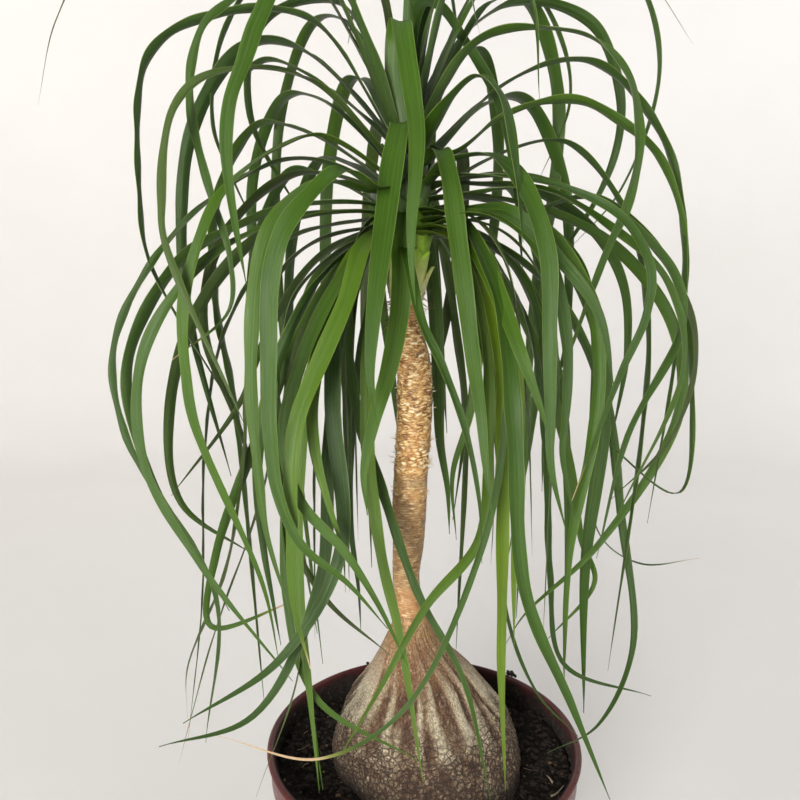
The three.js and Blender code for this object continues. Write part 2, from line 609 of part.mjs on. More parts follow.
// Upper and lower face of a blade are split along the same diagonal.
function bladeSkin(rings) {
  const faces = [];
  for (let r = 0; r + 1 < rings.length; r += 1) {
    const [a, b, c, d] = [0, 1, 2, 3].map((corner) => r * 4 + corner);
    const [e, f, g, h] = [a + 4, b + 4, c + 4, d + 4];
    faces.push([a, b, f], [a, f, e]);
    faces.push([c, d, g], [d, h, g]);
    faces.push([b, c, g], [b, g, f]);
    faces.push([d, a, e], [d, e, h]);
  }
  const last = (rings.length - 1) * 4;
  faces.push([0, 3, 2], [0, 2, 1]);
  faces.push([last, last + 1, last + 2], [last, last + 2, last + 3]);
  return geometryFrom(rings.flat(), faces);
}

// The sheathed top of the stem, from which every leaf grows.
function crownCore() {
  const core = latheUp(
    CROWN_PROFILE.map(([height, radius]) => [radius, TRUNK_TOP + height]),
    CROWN_SIDES,
  );
  core.translate(CROWN_AXIS_X, 0, 0);
  return solidFrom(core);
}

// A pocket closed in among the leaf bases is filled: only the largest skin is kept.
function outerSkin(solid) {
  return solid.decompose().reduce((largest, body) => (body.volume() > largest.volume() ? body : largest));
}

function leafCrownSolid() {
  const rows = [...MEASURED_LEAVES, ...backLeaves(), ...curtainLeaves(), ...youngLeaves()];
  const crown = wasm.Manifold.union([crownCore(), ...rows.map(leafSolid)]);
  return outerSkin(crown.asOriginal().simplify(SKIN_TOLERANCE));
}

const palm = new THREE.Group();

function addNode(name, solid, finish) {
  const mesh = new THREE.Mesh(geometryOf(solid), new THREE.MeshStandardMaterial(finish));
  mesh.name = name;
  palm.add(mesh);
}

addNode("pot", potSolid(), { color: 0x5c2226, roughness: 0.45, metalness: 0 });
addNode("soil", soilSolid(), { color: 0x2b1e15, roughness: 1, metalness: 0 });
addNode("caudex_and_trunk", solidFrom(skinRings(woodRings(0))), {
  color: 0xa9865c,
  roughness: 0.9,
  metalness: 0,
});
addNode("leaf_crown", leafCrownSolid(), { color: 0x3f7526, roughness: 0.5, metalness: 0 });

export default palm;
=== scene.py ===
import math

import bpy
import numpy as np
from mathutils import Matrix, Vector, noise


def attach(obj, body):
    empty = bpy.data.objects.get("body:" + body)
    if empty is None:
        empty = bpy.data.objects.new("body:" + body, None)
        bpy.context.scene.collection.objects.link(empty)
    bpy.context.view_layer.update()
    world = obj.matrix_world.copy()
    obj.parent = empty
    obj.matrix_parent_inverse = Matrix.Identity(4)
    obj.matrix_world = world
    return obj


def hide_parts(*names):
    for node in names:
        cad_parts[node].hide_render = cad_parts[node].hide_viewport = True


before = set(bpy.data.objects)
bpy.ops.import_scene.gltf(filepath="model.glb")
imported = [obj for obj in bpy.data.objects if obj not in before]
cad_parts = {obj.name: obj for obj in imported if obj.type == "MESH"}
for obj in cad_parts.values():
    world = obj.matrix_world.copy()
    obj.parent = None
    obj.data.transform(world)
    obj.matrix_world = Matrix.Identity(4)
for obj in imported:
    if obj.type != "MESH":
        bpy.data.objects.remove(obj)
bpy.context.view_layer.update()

# A potted ponytail palm. Sizes are in millimetres and places are turned into metres by MM.
MM = 0.001

# Camera, as fitted to the rim of the pot in the photograph
PHOTO_SIDE = 800
FOCAL_PIXELS = 720
HORIZON_ROW = 300
CAMERA_PLACE = (-22.8, -650.5, 648.8)
SENSOR_WIDTH = 36

# Sizes shared with the solids
RIM_RADIUS = 150
POT_HEIGHT = 230
FOOT_RADIUS = 98
POT_WALL = 3.5
POT_FLOOR = 5
COLLAR_RADIUS = RIM_RADIUS - 3
COLLAR_HEIGHT = 30
COLLAR_STEP = 5
LIP_HEIGHT = 7
DRAIN_COUNT = 5
DRAIN_RADIUS = 6
DRAIN_CIRCLE = 62
SOIL_TOP = 203
TRUNK_TOP = 646
CROWN_AXIS_X = -17
SHEATH_RADIUS = 15
CROWN_RADIUS = 18
BASE_SPREAD = (0.6, 1)
SPREAD_SHARE = 0.15
TAPER_POWER = 2.6
TAPER_SOFTNESS = 0.9
TURN_SHARES = (0.05, 0.5)
FACE_LEAN = 0.2
STUB_START = 3
STUB_REACH = 14
STUB_RISE = 16
SPAN_SAMPLES = 12

# Leaves placed by rule, as in the solids
GOLDEN_SHARE = 0.618034
GOLDEN_ANGLE = 137.508
POT_CLEARANCE = 18
CREST_PLAY = 20
BACK_LEAVES = 20
BACK_HEADINGS = (10, 170)
BACK_DRIFT = 60
BACK_REACH = (190, 270)
BACK_ROOTS = (690, 785)
BACK_RISE = (40, 135)
BACK_TIPS = (190, 560)
BACK_TUCK = (0.62, 0.98)
BACK_WIDTHS = (11, 17)
BACK_TURN = 60
CURTAINS = [(5, (150, 212), (48, 112)), (4, (-32, 30), (72, 150))]
CURTAIN_ROOTS = (678, 706)
CURTAIN_TIPS = (300, 500)
CURTAIN_SWAY = 0.3
CURTAIN_WIDTHS = (9, 15)
YOUNG_LEAVES = 4
YOUNG_ROOT = 800
YOUNG_REACH = (40, 100)
YOUNG_CRESTS = (900, 955)
YOUNG_WIDTHS = (9, 14)

# Routes as shares of the reach, each with its drop: in mm below the crest, in mm below the root, and as
# a share of the rise.
ARCH_ROUTE = [(0.42, 14), (0.68, 3), (0.93, 70), (1, 170), (0.96, 270)]
CURTAIN_ROUTE = [(0.55, -14), (0.85, 25), (1, 105)]
YOUNG_ROUTE = [(0.22, 0.75), (0.5, 0.2), (0.8, 0), (1.15, 0.5)]


# Leaves read one by one: blade width, height of the root, turn of the face in degrees, and the points
# that the leaf passes through on its way out.
MEASURED_LEAVES = [
    # High arcs on the left
    [13.5, 775, 15, [-91, 5, 881], [-133, 8, 896], [-181, 10, 892], [-219, 8, 878], [-240, 4, 855],
     [-248, 0, 820], [-249, -4, 786], [-248, -8, 741], [-241, -14, 685], [-160, -30, 540]],
    [16, 750, -25, [-89, -20, 825], [-119, -40, 832], [-155, -55, 828], [-182, -60, 817], [-199, -62, 797],
     [-207, -65, 767], [-209, -70, 726], [-207, -74, 695], [-145, -90, 550]],
    [12, 765, 20, [-100, 70, 855], [-155, 90, 880], [-187, 105, 857], [-200, 120, 802], [-205, 135, 749]],
    [18.5, 780, -66, [-80, -56, 908], [-108, -66, 896], [-129, -74, 858], [-139, -81, 827],
     [-149, -88, 797], [-152, -93, 767], [-150, -98, 737], [-145, -105, 707], [-135, -118, 660]],
    [13, 785, 30, [-70, 30, 905], [-110, 40, 915], [-152, 50, 895], [-167, 75, 825], [-125, 120, 735]],
    [9.5, 790, 30, [-85, 55, 940], [-140, 60, 950], [-192, 85, 905], [-212, 110, 825], [-197, 130, 772],
     [-182, 132, 738], [-166, 134, 701]],
    [15, 780, -56, [-90, -25, 915], [-128, -29, 909], [-158, -31, 888], [-180, -31, 871], [-191, -31, 845],
     [-194, -34, 808], [-187, -40, 772], [-177, -46, 736], [-161, -54, 683], [-163, -56, 640],
     [-210, -60, 600]],
    [11, 795, -20, [-120, 20, 950], [-210, 20, 970], [-290, 20, 940], [-325, 20, 890], [-345, 20, 820]],
    # Wide arcs on the left that hang to the pot
    [13, 735, -50, [-90, -25, 785], [-120, -32, 775], [-146, -38, 758], [-169, -54, 730], [-182, -64, 698],
     [-193, -69, 660], [-197, -70, 629], [-196, -70, 593], [-191, -68, 548], [-140, -60, 405],
     [-128, -60, 335]],
    [16, 725, -40, [-105, -5, 770], [-155, -10, 755], [-220, -20, 700], [-272, -20, 610], [-262, -30, 530],
     [-185, -45, 390], [-195, -60, 260]],
    [15, 722, 10, [-95, 20, 762], [-140, 40, 755], [-199, 62, 700], [-217, 68, 620], [-190, 80, 525],
     [-168, 90, 440]],
    [16, 712, 30, [-110, 5, 732], [-165, 15, 716], [-225, 20, 683], [-275, 15, 590], [-258, 0, 500],
     [-180, -20, 365]],
    [14, 705, -50, [-110, -20, 718], [-180, -50, 682], [-232, -60, 608], [-235, -68, 520], [-189, -80, 435],
     [-112, -90, 335]],
    # Folded leaves that hang down the front
    [18, 765, 36, [-19, -14, 797], [-26, -17, 830], [-26, -21, 862], [-23, -31, 873], [-20, -42, 856],
     [-15, -54, 821], [-10, -66, 780], [-11, -78, 744], [-14, -86, 710], [-14, -92, 675], [-11, -96, 645]],
    [20, 755, -30, [-18, -22, 789], [-21, -34, 794], [-28, -48, 761], [-34, -66, 715], [-40, -90, 664],
     [-44, -105, 623], [-45, -113, 593], [-40, -118, 556]],
    [18.5, 708, -5, [-21, -22, 713], [-22, -30, 722], [-21, -42, 690], [-23, -58, 641], [-32, -76, 593],
     [-44, -94, 552], [-51, -106, 515], [-48, -112, 484]],
    [17, 742, 25, [-2, -30, 762], [9, -48, 769], [16, -60, 746], [22, -74, 699], [28, -88, 649],
     [33, -101, 603], [38, -115, 563], [41, -124, 527], [46, -132, 487]],
    [16, 728, 25, [-1, -14, 746], [16, -34, 761], [41, -55, 764], [57, -85, 752], [72, -110, 723],
     [83, -125, 681], [84, -134, 628], [85, -138, 578], [86, -143, 531], [98, -147, 481]],
    [17, 694, 35, [10, -22, 713], [24, -38, 715], [38, -58, 692], [55, -84, 650], [68, -106, 610],
     [81, -116, 573], [90, -122, 545]],
    [15, 722, -60, [-45, -72, 737], [-66, -100, 744], [-86, -114, 726], [-106, -124, 698],
     [-115, -130, 663], [-117, -134, 613], [-117, -138, 556], [-111, -141, 507], [-95, -142, 471],
     [-61, -142, 441], [-32, -142, 406]],
    [17.5, 718, -20, [-55, -60, 736], [-79, -90, 737], [-109, -110, 715], [-124, -119, 679],
     [-130, -125, 627], [-131, -128, 569], [-127, -130, 520], [-123, -130, 478], [-107, -130, 414]],
    [16, 684, -20, [-41, -46, 704], [-52, -65, 691], [-64, -87, 649], [-82, -106, 605], [-98, -122, 564],
     [-103, -130, 532], [-103, -134, 480], [-103, -136, 426], [-91, -136, 371]],
    # High arcs on the right
    [19, 775, 58, [11, -15, 822], [44, -15, 863], [93, -17, 872], [138, -19, 863], [164, -25, 834],
     [172, -33, 800], [172, -39, 766], [163, -47, 728], [144, -56, 687], [105, -70, 580]],
    [14, 785, -70, [14, 50, 857], [42, 55, 897], [85, 64, 923], [127, 70, 922], [162, 77, 907],
     [182, 84, 879], [195, 92, 836], [194, 102, 796], [180, 112, 753], [154, 122, 707], [132, 128, 665]],
    [15, 765, -20, [23, 5, 776], [61, 9, 804], [100, 12, 820], [136, 13, 822], [172, 16, 806],
     [207, 20, 780], [231, 26, 739], [245, 31, 687], [247, 33, 655]],
    [9.5, 788, -30, [55, 75, 938], [98, 85, 946], [136, 100, 902], [150, 118, 848], [125, 140, 775]],
    [16, 790, 35, [-16, 2, 853], [-5, 14, 904], [11, 22, 904], [36, 27, 874], [61, 31, 836], [77, 34, 789],
     [86, 38, 736], [94, 42, 672]],
    [17.5, 750, 30, [15, -65, 802], [36, -80, 816], [52, -88, 800], [62, -105, 745], [66, -120, 690]],
    [9.5, 790, -30, [70, 60, 962], [150, 70, 980], [205, 80, 945], [232, 95, 870], [205, 115, 762],
     [155, 130, 700]],
    [9.5, 795, 20, [65, 20, 940], [128, 20, 965], [185, 20, 935], [235, 20, 872]],
    [9.5, 798, 15, [25, -40, 915], [58, -40, 924], [82, -40, 885], [90, -40, 810]],
    # Wide arcs on the right
    [16, 725, 40, [65, -5, 757], [118, -10, 746], [177, -10, 714], [217, -14, 668], [236, -20, 605],
     [215, -30, 530], [160, -40, 475]],
    [14, 718, 40, [30, -15, 738], [95, -30, 741], [152, -40, 708], [198, -45, 665], [215, -48, 595],
     [160, -60, 465]],
    [10, 735, 50, [20, -32, 752], [75, -44, 747], [115, -56, 736], [152, -72, 712], [170, -86, 675],
     [167, -92, 638], [148, -95, 592], [110, -110, 495]],
    [13, 732, -42, [50, 20, 752], [105, 40, 748], [162, 50, 713], [193, 56, 665], [202, 62, 600],
     [193, 70, 510]],
    [15, 728, 45, [85, -20, 752], [160, -30, 720], [207, -35, 672], [215, -40, 628], [170, -50, 535],
     [145, -60, 430]],
    [15, 706, 50, [20, -35, 722], [60, -82, 716], [96, -100, 680], [124, -112, 640], [136, -120, 585]],
    [13, 716, -20, [40, 35, 742], [105, 75, 729], [157, 90, 688], [178, 100, 618], [180, 110, 500]],
    [16, 704, -60, [34, -50, 718], [86, -76, 706], [123, -88, 653], [132, -92, 595], [127, -95, 532],
     [114, -97, 463], [111, -97, 409], [111, -97, 342]],
    [14, 708, 35, [21, -58, 719], [58, -85, 711], [90, -101, 673], [103, -105, 619], [104, -107, 569],
     [102, -108, 531], [113, -108, 479]],
    # Leaves that hang low on the right
    [17.5, 686, 20, [7, -32, 705], [31, -49, 689], [49, -60, 649], [59, -67, 592], [61, -74, 528],
     [61, -80, 453], [61, -86, 387], [61, -88, 348], [66, -95, 240]],
    [16, 690, 25, [12, -42, 709], [40, -61, 690], [62, -74, 633], [71, -80, 570], [71, -85, 505],
     [70, -89, 423], [71, -92, 368]],
    [18.5, 704, -50, [40, 15, 728], [105, 30, 708], [162, 40, 635], [176, 44, 540], [165, 50, 380],
     [172, 60, 215]],
    [13, 694, -30, [40, 30, 712], [120, 45, 660], [175, 45, 560], [194, 35, 440], [200, 0, 320],
     [160, -35, 262], [108, -60, 250]],
    [13, 718, -65, [50, 20, 742], [165, 40, 708], [240, 50, 628], [248, 40, 540], [170, 25, 412],
     [98, 15, 345], [80, 10, 318]],
    [11, 710, 30, [40, 20, 731], [130, 50, 684], [170, 60, 605], [168, 60, 500], [182, 60, 410],
     [225, 60, 380], [285, 60, 386]],
    [13, 698, 70, [30, 15, 716], [90, 30, 645], [118, 40, 520], [127, 40, 380], [145, 40, 280],
     [235, 40, 246]],
    [17.5, 696, 10, [25, -45, 713], [54, -85, 652], [62, -118, 560], [72, -128, 430], [110, -135, 338],
     [140, -140, 265]],
    [11, 686, 20, [20, -12, 704], [50, -22, 645], [65, -32, 520], [70, -45, 380], [98, -55, 305],
     [135, -60, 266]],
    [13, 698, -40, [35, 40, 717], [95, 80, 678], [143, 110, 575], [160, 115, 450], [165, 120, 220]],
    [13, 690, -35, [30, 20, 708], [105, 55, 615], [147, 60, 490], [163, 60, 405], [178, 60, 360],
     [130, 60, 296]],
    # Leaves that hang low before the trunk
    [13, 684, -25, [-50, -15, 703], [-66, -28, 640], [-58, -40, 550], [-42, -45, 500], [-8, -70, 405],
     [30, -95, 338], [50, -120, 250]],
    [14, 686, 25, [20, -20, 704], [46, -45, 635], [50, -62, 540], [42, -82, 455], [-2, -100, 405],
     [-42, -125, 342], [-70, -140, 300]],
    [15, 676, -10, [-35, -20, 695], [-47, -35, 625], [-50, -52, 535], [-38, -78, 440], [-22, -104, 378],
     [-5, -140, 280]],
    [7, 698, 40, [25, -35, 717], [60, -60, 648], [60, -86, 545], [40, -98, 445], [-20, -124, 330],
     [-85, -138, 298], [-160, -150, 325]],
    [13, 690, 50, [-50, 15, 706], [-102, 30, 645], [-130, 30, 545], [-132, 10, 445], [-92, -20, 378],
     [-32, -45, 335]],
    [13, 684, -85, [-50, 10, 702], [-92, 20, 625], [-122, 10, 515], [-126, -25, 385], [-98, -60, 305],
     [-8, -112, 278]],
    [15, 686, -50, [-45, -10, 703], [-80, -20, 648], [-107, -32, 540], [-112, -45, 420], [-100, -68, 300],
     [-92, -85, 232]],
    [13, 694, 55, [-50, 25, 711], [-102, 40, 668], [-132, 45, 545], [-132, 25, 420], [-108, -30, 300],
     [-88, -92, 238]],
    [13, 686, -25, [-55, 5, 703], [-117, 12, 655], [-138, 15, 540], [-130, -12, 430], [-112, -48, 330],
     [-145, -90, 230]],
    [16, 688, -15, [-43, -40, 701], [-62, -58, 681], [-81, -82, 629], [-90, -98, 576], [-88, -107, 534],
     [-76, -116, 490], [-63, -122, 452]],
    [13, 682, -25, [-48, -44, 696], [-75, -72, 657], [-100, -95, 599], [-111, -110, 543], [-99, -120, 499],
     [-64, -128, 460], [-39, -132, 420], [-16, -134, 370]],
    # Leaves that hang behind the front ones
    [12, 690, 10, [-34, 28, 704], [-55, 36, 621], [-70, 40, 523], [-72, 40, 433], [-64, 34, 363],
     [-62, 32, 319]],
    [15, 690, -15, [0, 40, 705], [10, 50, 649], [15, 56, 571], [17, 56, 510], [25, 54, 460], [27, 50, 415]],
    [12, 700, -15, [15, 45, 710], [43, 60, 663], [55, 65, 600], [47, 62, 535], [30, 56, 475],
     [34, 50, 409]],
    [13, 692, 15, [16, -22, 708], [36, -36, 661], [48, -43, 607], [58, -48, 544], [63, -50, 479],
     [64, -50, 425]],
    [13, 694, 75, [-53, -8, 701], [-95, -10, 664], [-132, -15, 592], [-150, -20, 507], [-146, -26, 430],
     [-138, -30, 380], [-131, -33, 338]],
    # Leaves that hang low on the left
    [15, 692, -35, [-55, 10, 712], [-115, 20, 692], [-162, 28, 615], [-173, 30, 500], [-195, 34, 385],
     [-240, 40, 275], [-242, 40, 222]],
    [15, 688, -30, [-50, 30, 707], [-102, 55, 668], [-146, 74, 565], [-162, 70, 460], [-220, 65, 295],
     [-260, 60, 156]],
    [13, 702, -25, [-60, 40, 722], [-140, 80, 704], [-206, 104, 615], [-232, 108, 490], [-236, 90, 330],
     [-255, 80, 172]],
    [11, 692, 20, [-55, 35, 711], [-112, 75, 682], [-162, 84, 605], [-186, 78, 545], [-255, 60, 452]],
    [16, 706, 35, [-75, 20, 728], [-147, 45, 714], [-217, 60, 645], [-258, 78, 540], [-255, 92, 435],
     [-185, 110, 372]],
    [13, 688, 45, [-50, 15, 706], [-102, 28, 645], [-155, 38, 530], [-205, 36, 400], [-212, 33, 325],
     [-120, 30, 356]],
    [15, 690, -30, [-40, -35, 707], [-70, -56, 660], [-76, -84, 570], [-70, -100, 450], [-118, -112, 366],
     [-195, -120, 316]],
    [14, 684, -30, [-45, -25, 700], [-71, -50, 625], [-81, -72, 520], [-88, -88, 420], [-142, -106, 314],
     [-215, -120, 296]],
    # A slim leaf that crosses the trunk from under the middle one
    [9.5, 682, -25, [-18, -45, 690], [-15, -78, 672], [-6, -98, 632], [10, -110, 597], [26, -120, 552],
     [36, -130, 501], [38, -138, 455]],
]

# Share of a leaf, from its tip back, that has dried to tan, and how light some leaves are, from 0 to 1.
# Keys are places in the list above. Tones of other leaves are drawn between the two PLAIN_TONES.
DRY_TIPS = {6: 0.03, 21: 0.02, 45: 0.03, 54: 0.13, 67: 0.05, 68: 0.08, 72: 0.05, 33: 0.03}
# The darkest tones set here, of leaves 73 and 74, are painted shade for leaves that hang in shadow.
LEAF_TONES_AND_SHADE = {
    13: 0.5, 14: 0.42, 15: 0.6, 16: 0.45, 17: 0.4, 18: 0.6, 19: 0.42, 20: 0.45, 21: 0.7, 38: 0.5,
    40: 1.0, 41: 0.95, 51: 0.35, 52: 0.75, 53: 0.8, 54: 0.3, 56: 0.5, 57: 0.7, 60: 0.75, 61: 0.5,
    66: 0.2, 73: 0.08, 74: 0.1, 75: 0.35,
}
PLAIN_TONES = (0.12, 0.62)


def clamp(value, low, high):
    return max(low, min(high, value))


def smooth_step(value, low, high):
    t = clamp((value - low) / (high - low), 0, 1)
    return t * t * (3 - 2 * t)


DRAW_FACTOR = 1664525
DRAW_STEP = 1013904223
DRAW_RANGE = 2**32


def draw_from(seed):
    """A fixed sequence of numbers from 0 to 1, the same on every run."""
    state = seed

    def draw():
        nonlocal state
        state = (state * DRAW_FACTOR + DRAW_STEP) % DRAW_RANGE
        return state / DRAW_RANGE

    return draw


def between(pair, share):
    return pair[0] + (pair[1] - pair[0]) * share


def turn_angles(sides):
    return [2 * math.pi * i / sides for i in range(sides)]


def around(angle, radius, height, x=0, y=0):
    """A point at an angle and a radius round an upright line through x and y."""
    return (x + radius * math.cos(angle), y + radius * math.sin(angle), height)


def place_around(heading, reach, height):
    """A point at a heading in degrees and a reach from the crown's axis."""
    return around(math.radians(heading), reach, height, CROWN_AXIS_X)


def back_leaves():
    """Leaves on the far side, spread by the golden angle. The older ones root lower and arch less."""
    draw = draw_from(seed=7)
    rows = []
    for i in range(BACK_LEAVES):
        youth = i / (BACK_LEAVES - 1)
        heading = between(BACK_HEADINGS, (i * GOLDEN_SHARE) % 1)
        drift = BACK_DRIFT * (draw() - 0.5)
        reach = between(BACK_REACH, draw())
        root = between(BACK_ROOTS, youth)
        crest = root + between(BACK_RISE, youth) + CREST_PLAY * draw()
        tip = between(BACK_TIPS, draw())
        tuck = between(BACK_TUCK, draw())
        over_pot = tuck * reach < RIM_RADIUS + POT_CLEARANCE
        stations = [(share, crest - drop) for share, drop in ARCH_ROUTE]
        stations.append((tuck, max(tip, POT_HEIGHT + POT_CLEARANCE if over_pot else 0)))
        points = [
            place_around(heading + drift * k / len(stations), reach * share, height)
            for k, (share, height) in enumerate(stations)
        ]
        rows.append([between(BACK_WIDTHS, draw()), root, BACK_TURN * (draw() - 0.5), *points])
    return rows


def curtain_leaves():
    """Old leaves that root low and hang close in, to the left and right of the trunk."""
    draw = draw_from(seed=19)
    rows = []
    for count, headings, reaches in CURTAINS:
        for i in range(count):
            heading = between(headings, (i * GOLDEN_SHARE) % 1)
            reach = between(reaches, draw())
            root = between(CURTAIN_ROOTS, draw())
            tip = between(CURTAIN_TIPS, draw())
            sway = CURTAIN_SWAY * (draw() - 0.5)
            stations = [(share, root - drop) for share, drop in CURTAIN_ROUTE]
            stations += [(1 + sway / 2, (root + tip) / 2 - CREST_PLAY), (1 + sway, tip)]
            points = [place_around(heading, reach * share, height) for share, height in stations]
            rows.append([between(CURTAIN_WIDTHS, draw()), root, BACK_TURN * (draw() - 0.5), *points])
    return rows


def young_leaves():
    """Young leaves that still stand up at the middle of the crown."""
    draw = draw_from(seed=3)
    rows = []
    for i in range(YOUNG_LEAVES):
        reach = between(YOUNG_REACH, draw())
        crest = between(YOUNG_CRESTS, draw())
        rise = (YOUNG_ROOT + STUB_RISE, crest)
        points = [
            place_around(GOLDEN_ANGLE * i, reach * share, between(rise, 1 - drop))
            for share, drop in YOUNG_ROUTE
        ]
        rows.append([between(YOUNG_WIDTHS, draw()), YOUNG_ROOT, BACK_TURN * (draw() - 0.5), *points])
    return rows


# Nodes and materials


def fill(tree, socket, value):
    """Links a socket to another node's, or gives it a value."""
    if isinstance(value, bpy.types.NodeSocket):
        tree.links.new(value, socket)
    elif socket.type == "RGBA":
        socket.default_value = (*value, 1)
    else:
        socket.default_value = value


def node(tree, kind, inputs=None, **settings):
    """A shader node with its settings and with its sockets filled."""
    made = tree.nodes.new(kind)
    for key, value in settings.items():
        setattr(made, key, value)
    for key, value in (inputs or {}).items():
        fill(tree, made.inputs[key], value)
    return made


def ramp(tree, factor, stops):
    made = node(tree, "ShaderNodeValToRGB", {"Fac": factor})
    elements = made.color_ramp.elements
    while len(elements) < len(stops):
        elements.new(0.5)
    for element, (place, colour) in zip(elements, stops):
        element.position = place
        element.color = (*colour, 1)
    return made.outputs["Color"]


def mix(tree, factor, first, second):
    """Two colours mixed."""
    return node(tree, "ShaderNodeMix", {0: factor, 6: first, 7: second}, data_type="RGBA").outputs[2]


def mix_value(tree, factor, first, second):
    return node(tree, "ShaderNodeMix", {0: factor, 2: first, 3: second}, data_type="FLOAT").outputs[0]


def calc(tree, operation, *values):
    return node(tree, "ShaderNodeMath", dict(enumerate(values)), operation=operation).outputs[0]


def times(tree, first, second):
    return calc(tree, "MULTIPLY", first, second)


def swayed(tree, value, pattern, amount):
    """A value moved up and down by a noise pattern."""
    return calc(tree, "ADD", value, times(tree, calc(tree, "SUBTRACT", pattern, 0.5), amount))


def span(tree, value, low, high, to_low=0.0, to_high=1.0):
    inputs = {"Value": value, "From Min": low, "From Max": high, "To Min": to_low, "To Max": to_high}
    return node(tree, "ShaderNodeMapRange", inputs, clamp=True).outputs["Result"]


def new_material(name):
    """An empty node material with its shader and its output."""
    material = bpy.data.materials.new(name)
    material.use_nodes = True
    tree = material.node_tree
    tree.nodes.clear()
    shader = node(tree, "ShaderNodeBsdfPrincipled")
    output = node(tree, "ShaderNodeOutputMaterial", {"Surface": shader.outputs[0]})
    return material, tree, shader, output


def channels(tree, attribute):
    """Red, green, blue and alpha of a mesh's colour attribute."""
    facts = node(tree, "ShaderNodeAttribute", attribute_name=attribute)
    split = node(tree, "ShaderNodeSeparateColor", {"Color": facts.outputs["Color"]})
    return (*split.outputs, facts.outputs["Alpha"])


def dress(tree, shader, colour, roughness, specular=0.5):
    """Gives a shader its colour, its roughness and the strength of its shine."""
    fill(tree, shader.inputs["Base Color"], colour)
    fill(tree, shader.inputs["Roughness"], roughness)
    fill(tree, shader.inputs["Specular IOR Level"], specular)


def bump(tree, shader, height, strength, distance):
    made = node(tree, "ShaderNodeBump", {"Height": height, "Strength": strength, "Distance": distance})
    tree.links.new(made.outputs[0], shader.inputs["Normal"])


def noise_at(tree, vector, scale, detail=3.0, roughness=0.5):
    inputs = {"Vector": vector, "Scale": scale, "Detail": detail, "Roughness": roughness}
    return node(tree, "ShaderNodeTexNoise", inputs).outputs["Fac"]


# How far apart the noise of leaves with unlike tones lies
STRAND_SPREAD = 57


def strand_noise(tree, across, along, seed, scales, detail):
    """Noise on a blade, stretched lengthwise and different on every leaf."""
    inputs = {
        "X": times(tree, across, scales[0]),
        "Y": times(tree, along, scales[1]),
        "Z": times(tree, seed, STRAND_SPREAD),
    }
    strand = node(tree, "ShaderNodeCombineXYZ", inputs).outputs[0]
    return noise_at(tree, strand, 1.0, detail, 0.55)


# How far cracks wander, in metres, how fast they do it, and the share of a crack that is fully dark
CRACK_DRIFT = (0.004, 0.004, 0.004)
CRACK_BENDS = 240
CRACK_CORE = 0.35


def crack_lines(tree, stretch, scale, width):
    """Lines between irregular plates: 1 in a crack and 0 on a plate."""
    place = place_vector(tree, stretch)
    drift = node(tree, "ShaderNodeTexNoise", {"Vector": place, "Scale": CRACK_BENDS, "Detail": 2})
    inputs = {0: drift.outputs["Color"], 1: CRACK_DRIFT}
    moved = node(tree, "ShaderNodeVectorMath", inputs, operation="MULTIPLY")
    bent = node(tree, "ShaderNodeVectorMath", {0: place, 1: moved.outputs[0]}, operation="ADD")
    inputs = {"Vector": bent.outputs[0], "Scale": scale}
    edge = node(tree, "ShaderNodeTexVoronoi", inputs, feature="DISTANCE_TO_EDGE").outputs["Distance"]
    return span(tree, edge, CRACK_CORE * width, width, 1.0, 0.0)


def place_vector(tree, stretch=(1, 1, 1)):
    """Object coordinates in metres, stretched."""
    coordinates = node(tree, "ShaderNodeTexCoord").outputs["Object"]
    return node(tree, "ShaderNodeMapping", {"Vector": coordinates, "Scale": stretch}).outputs[0]


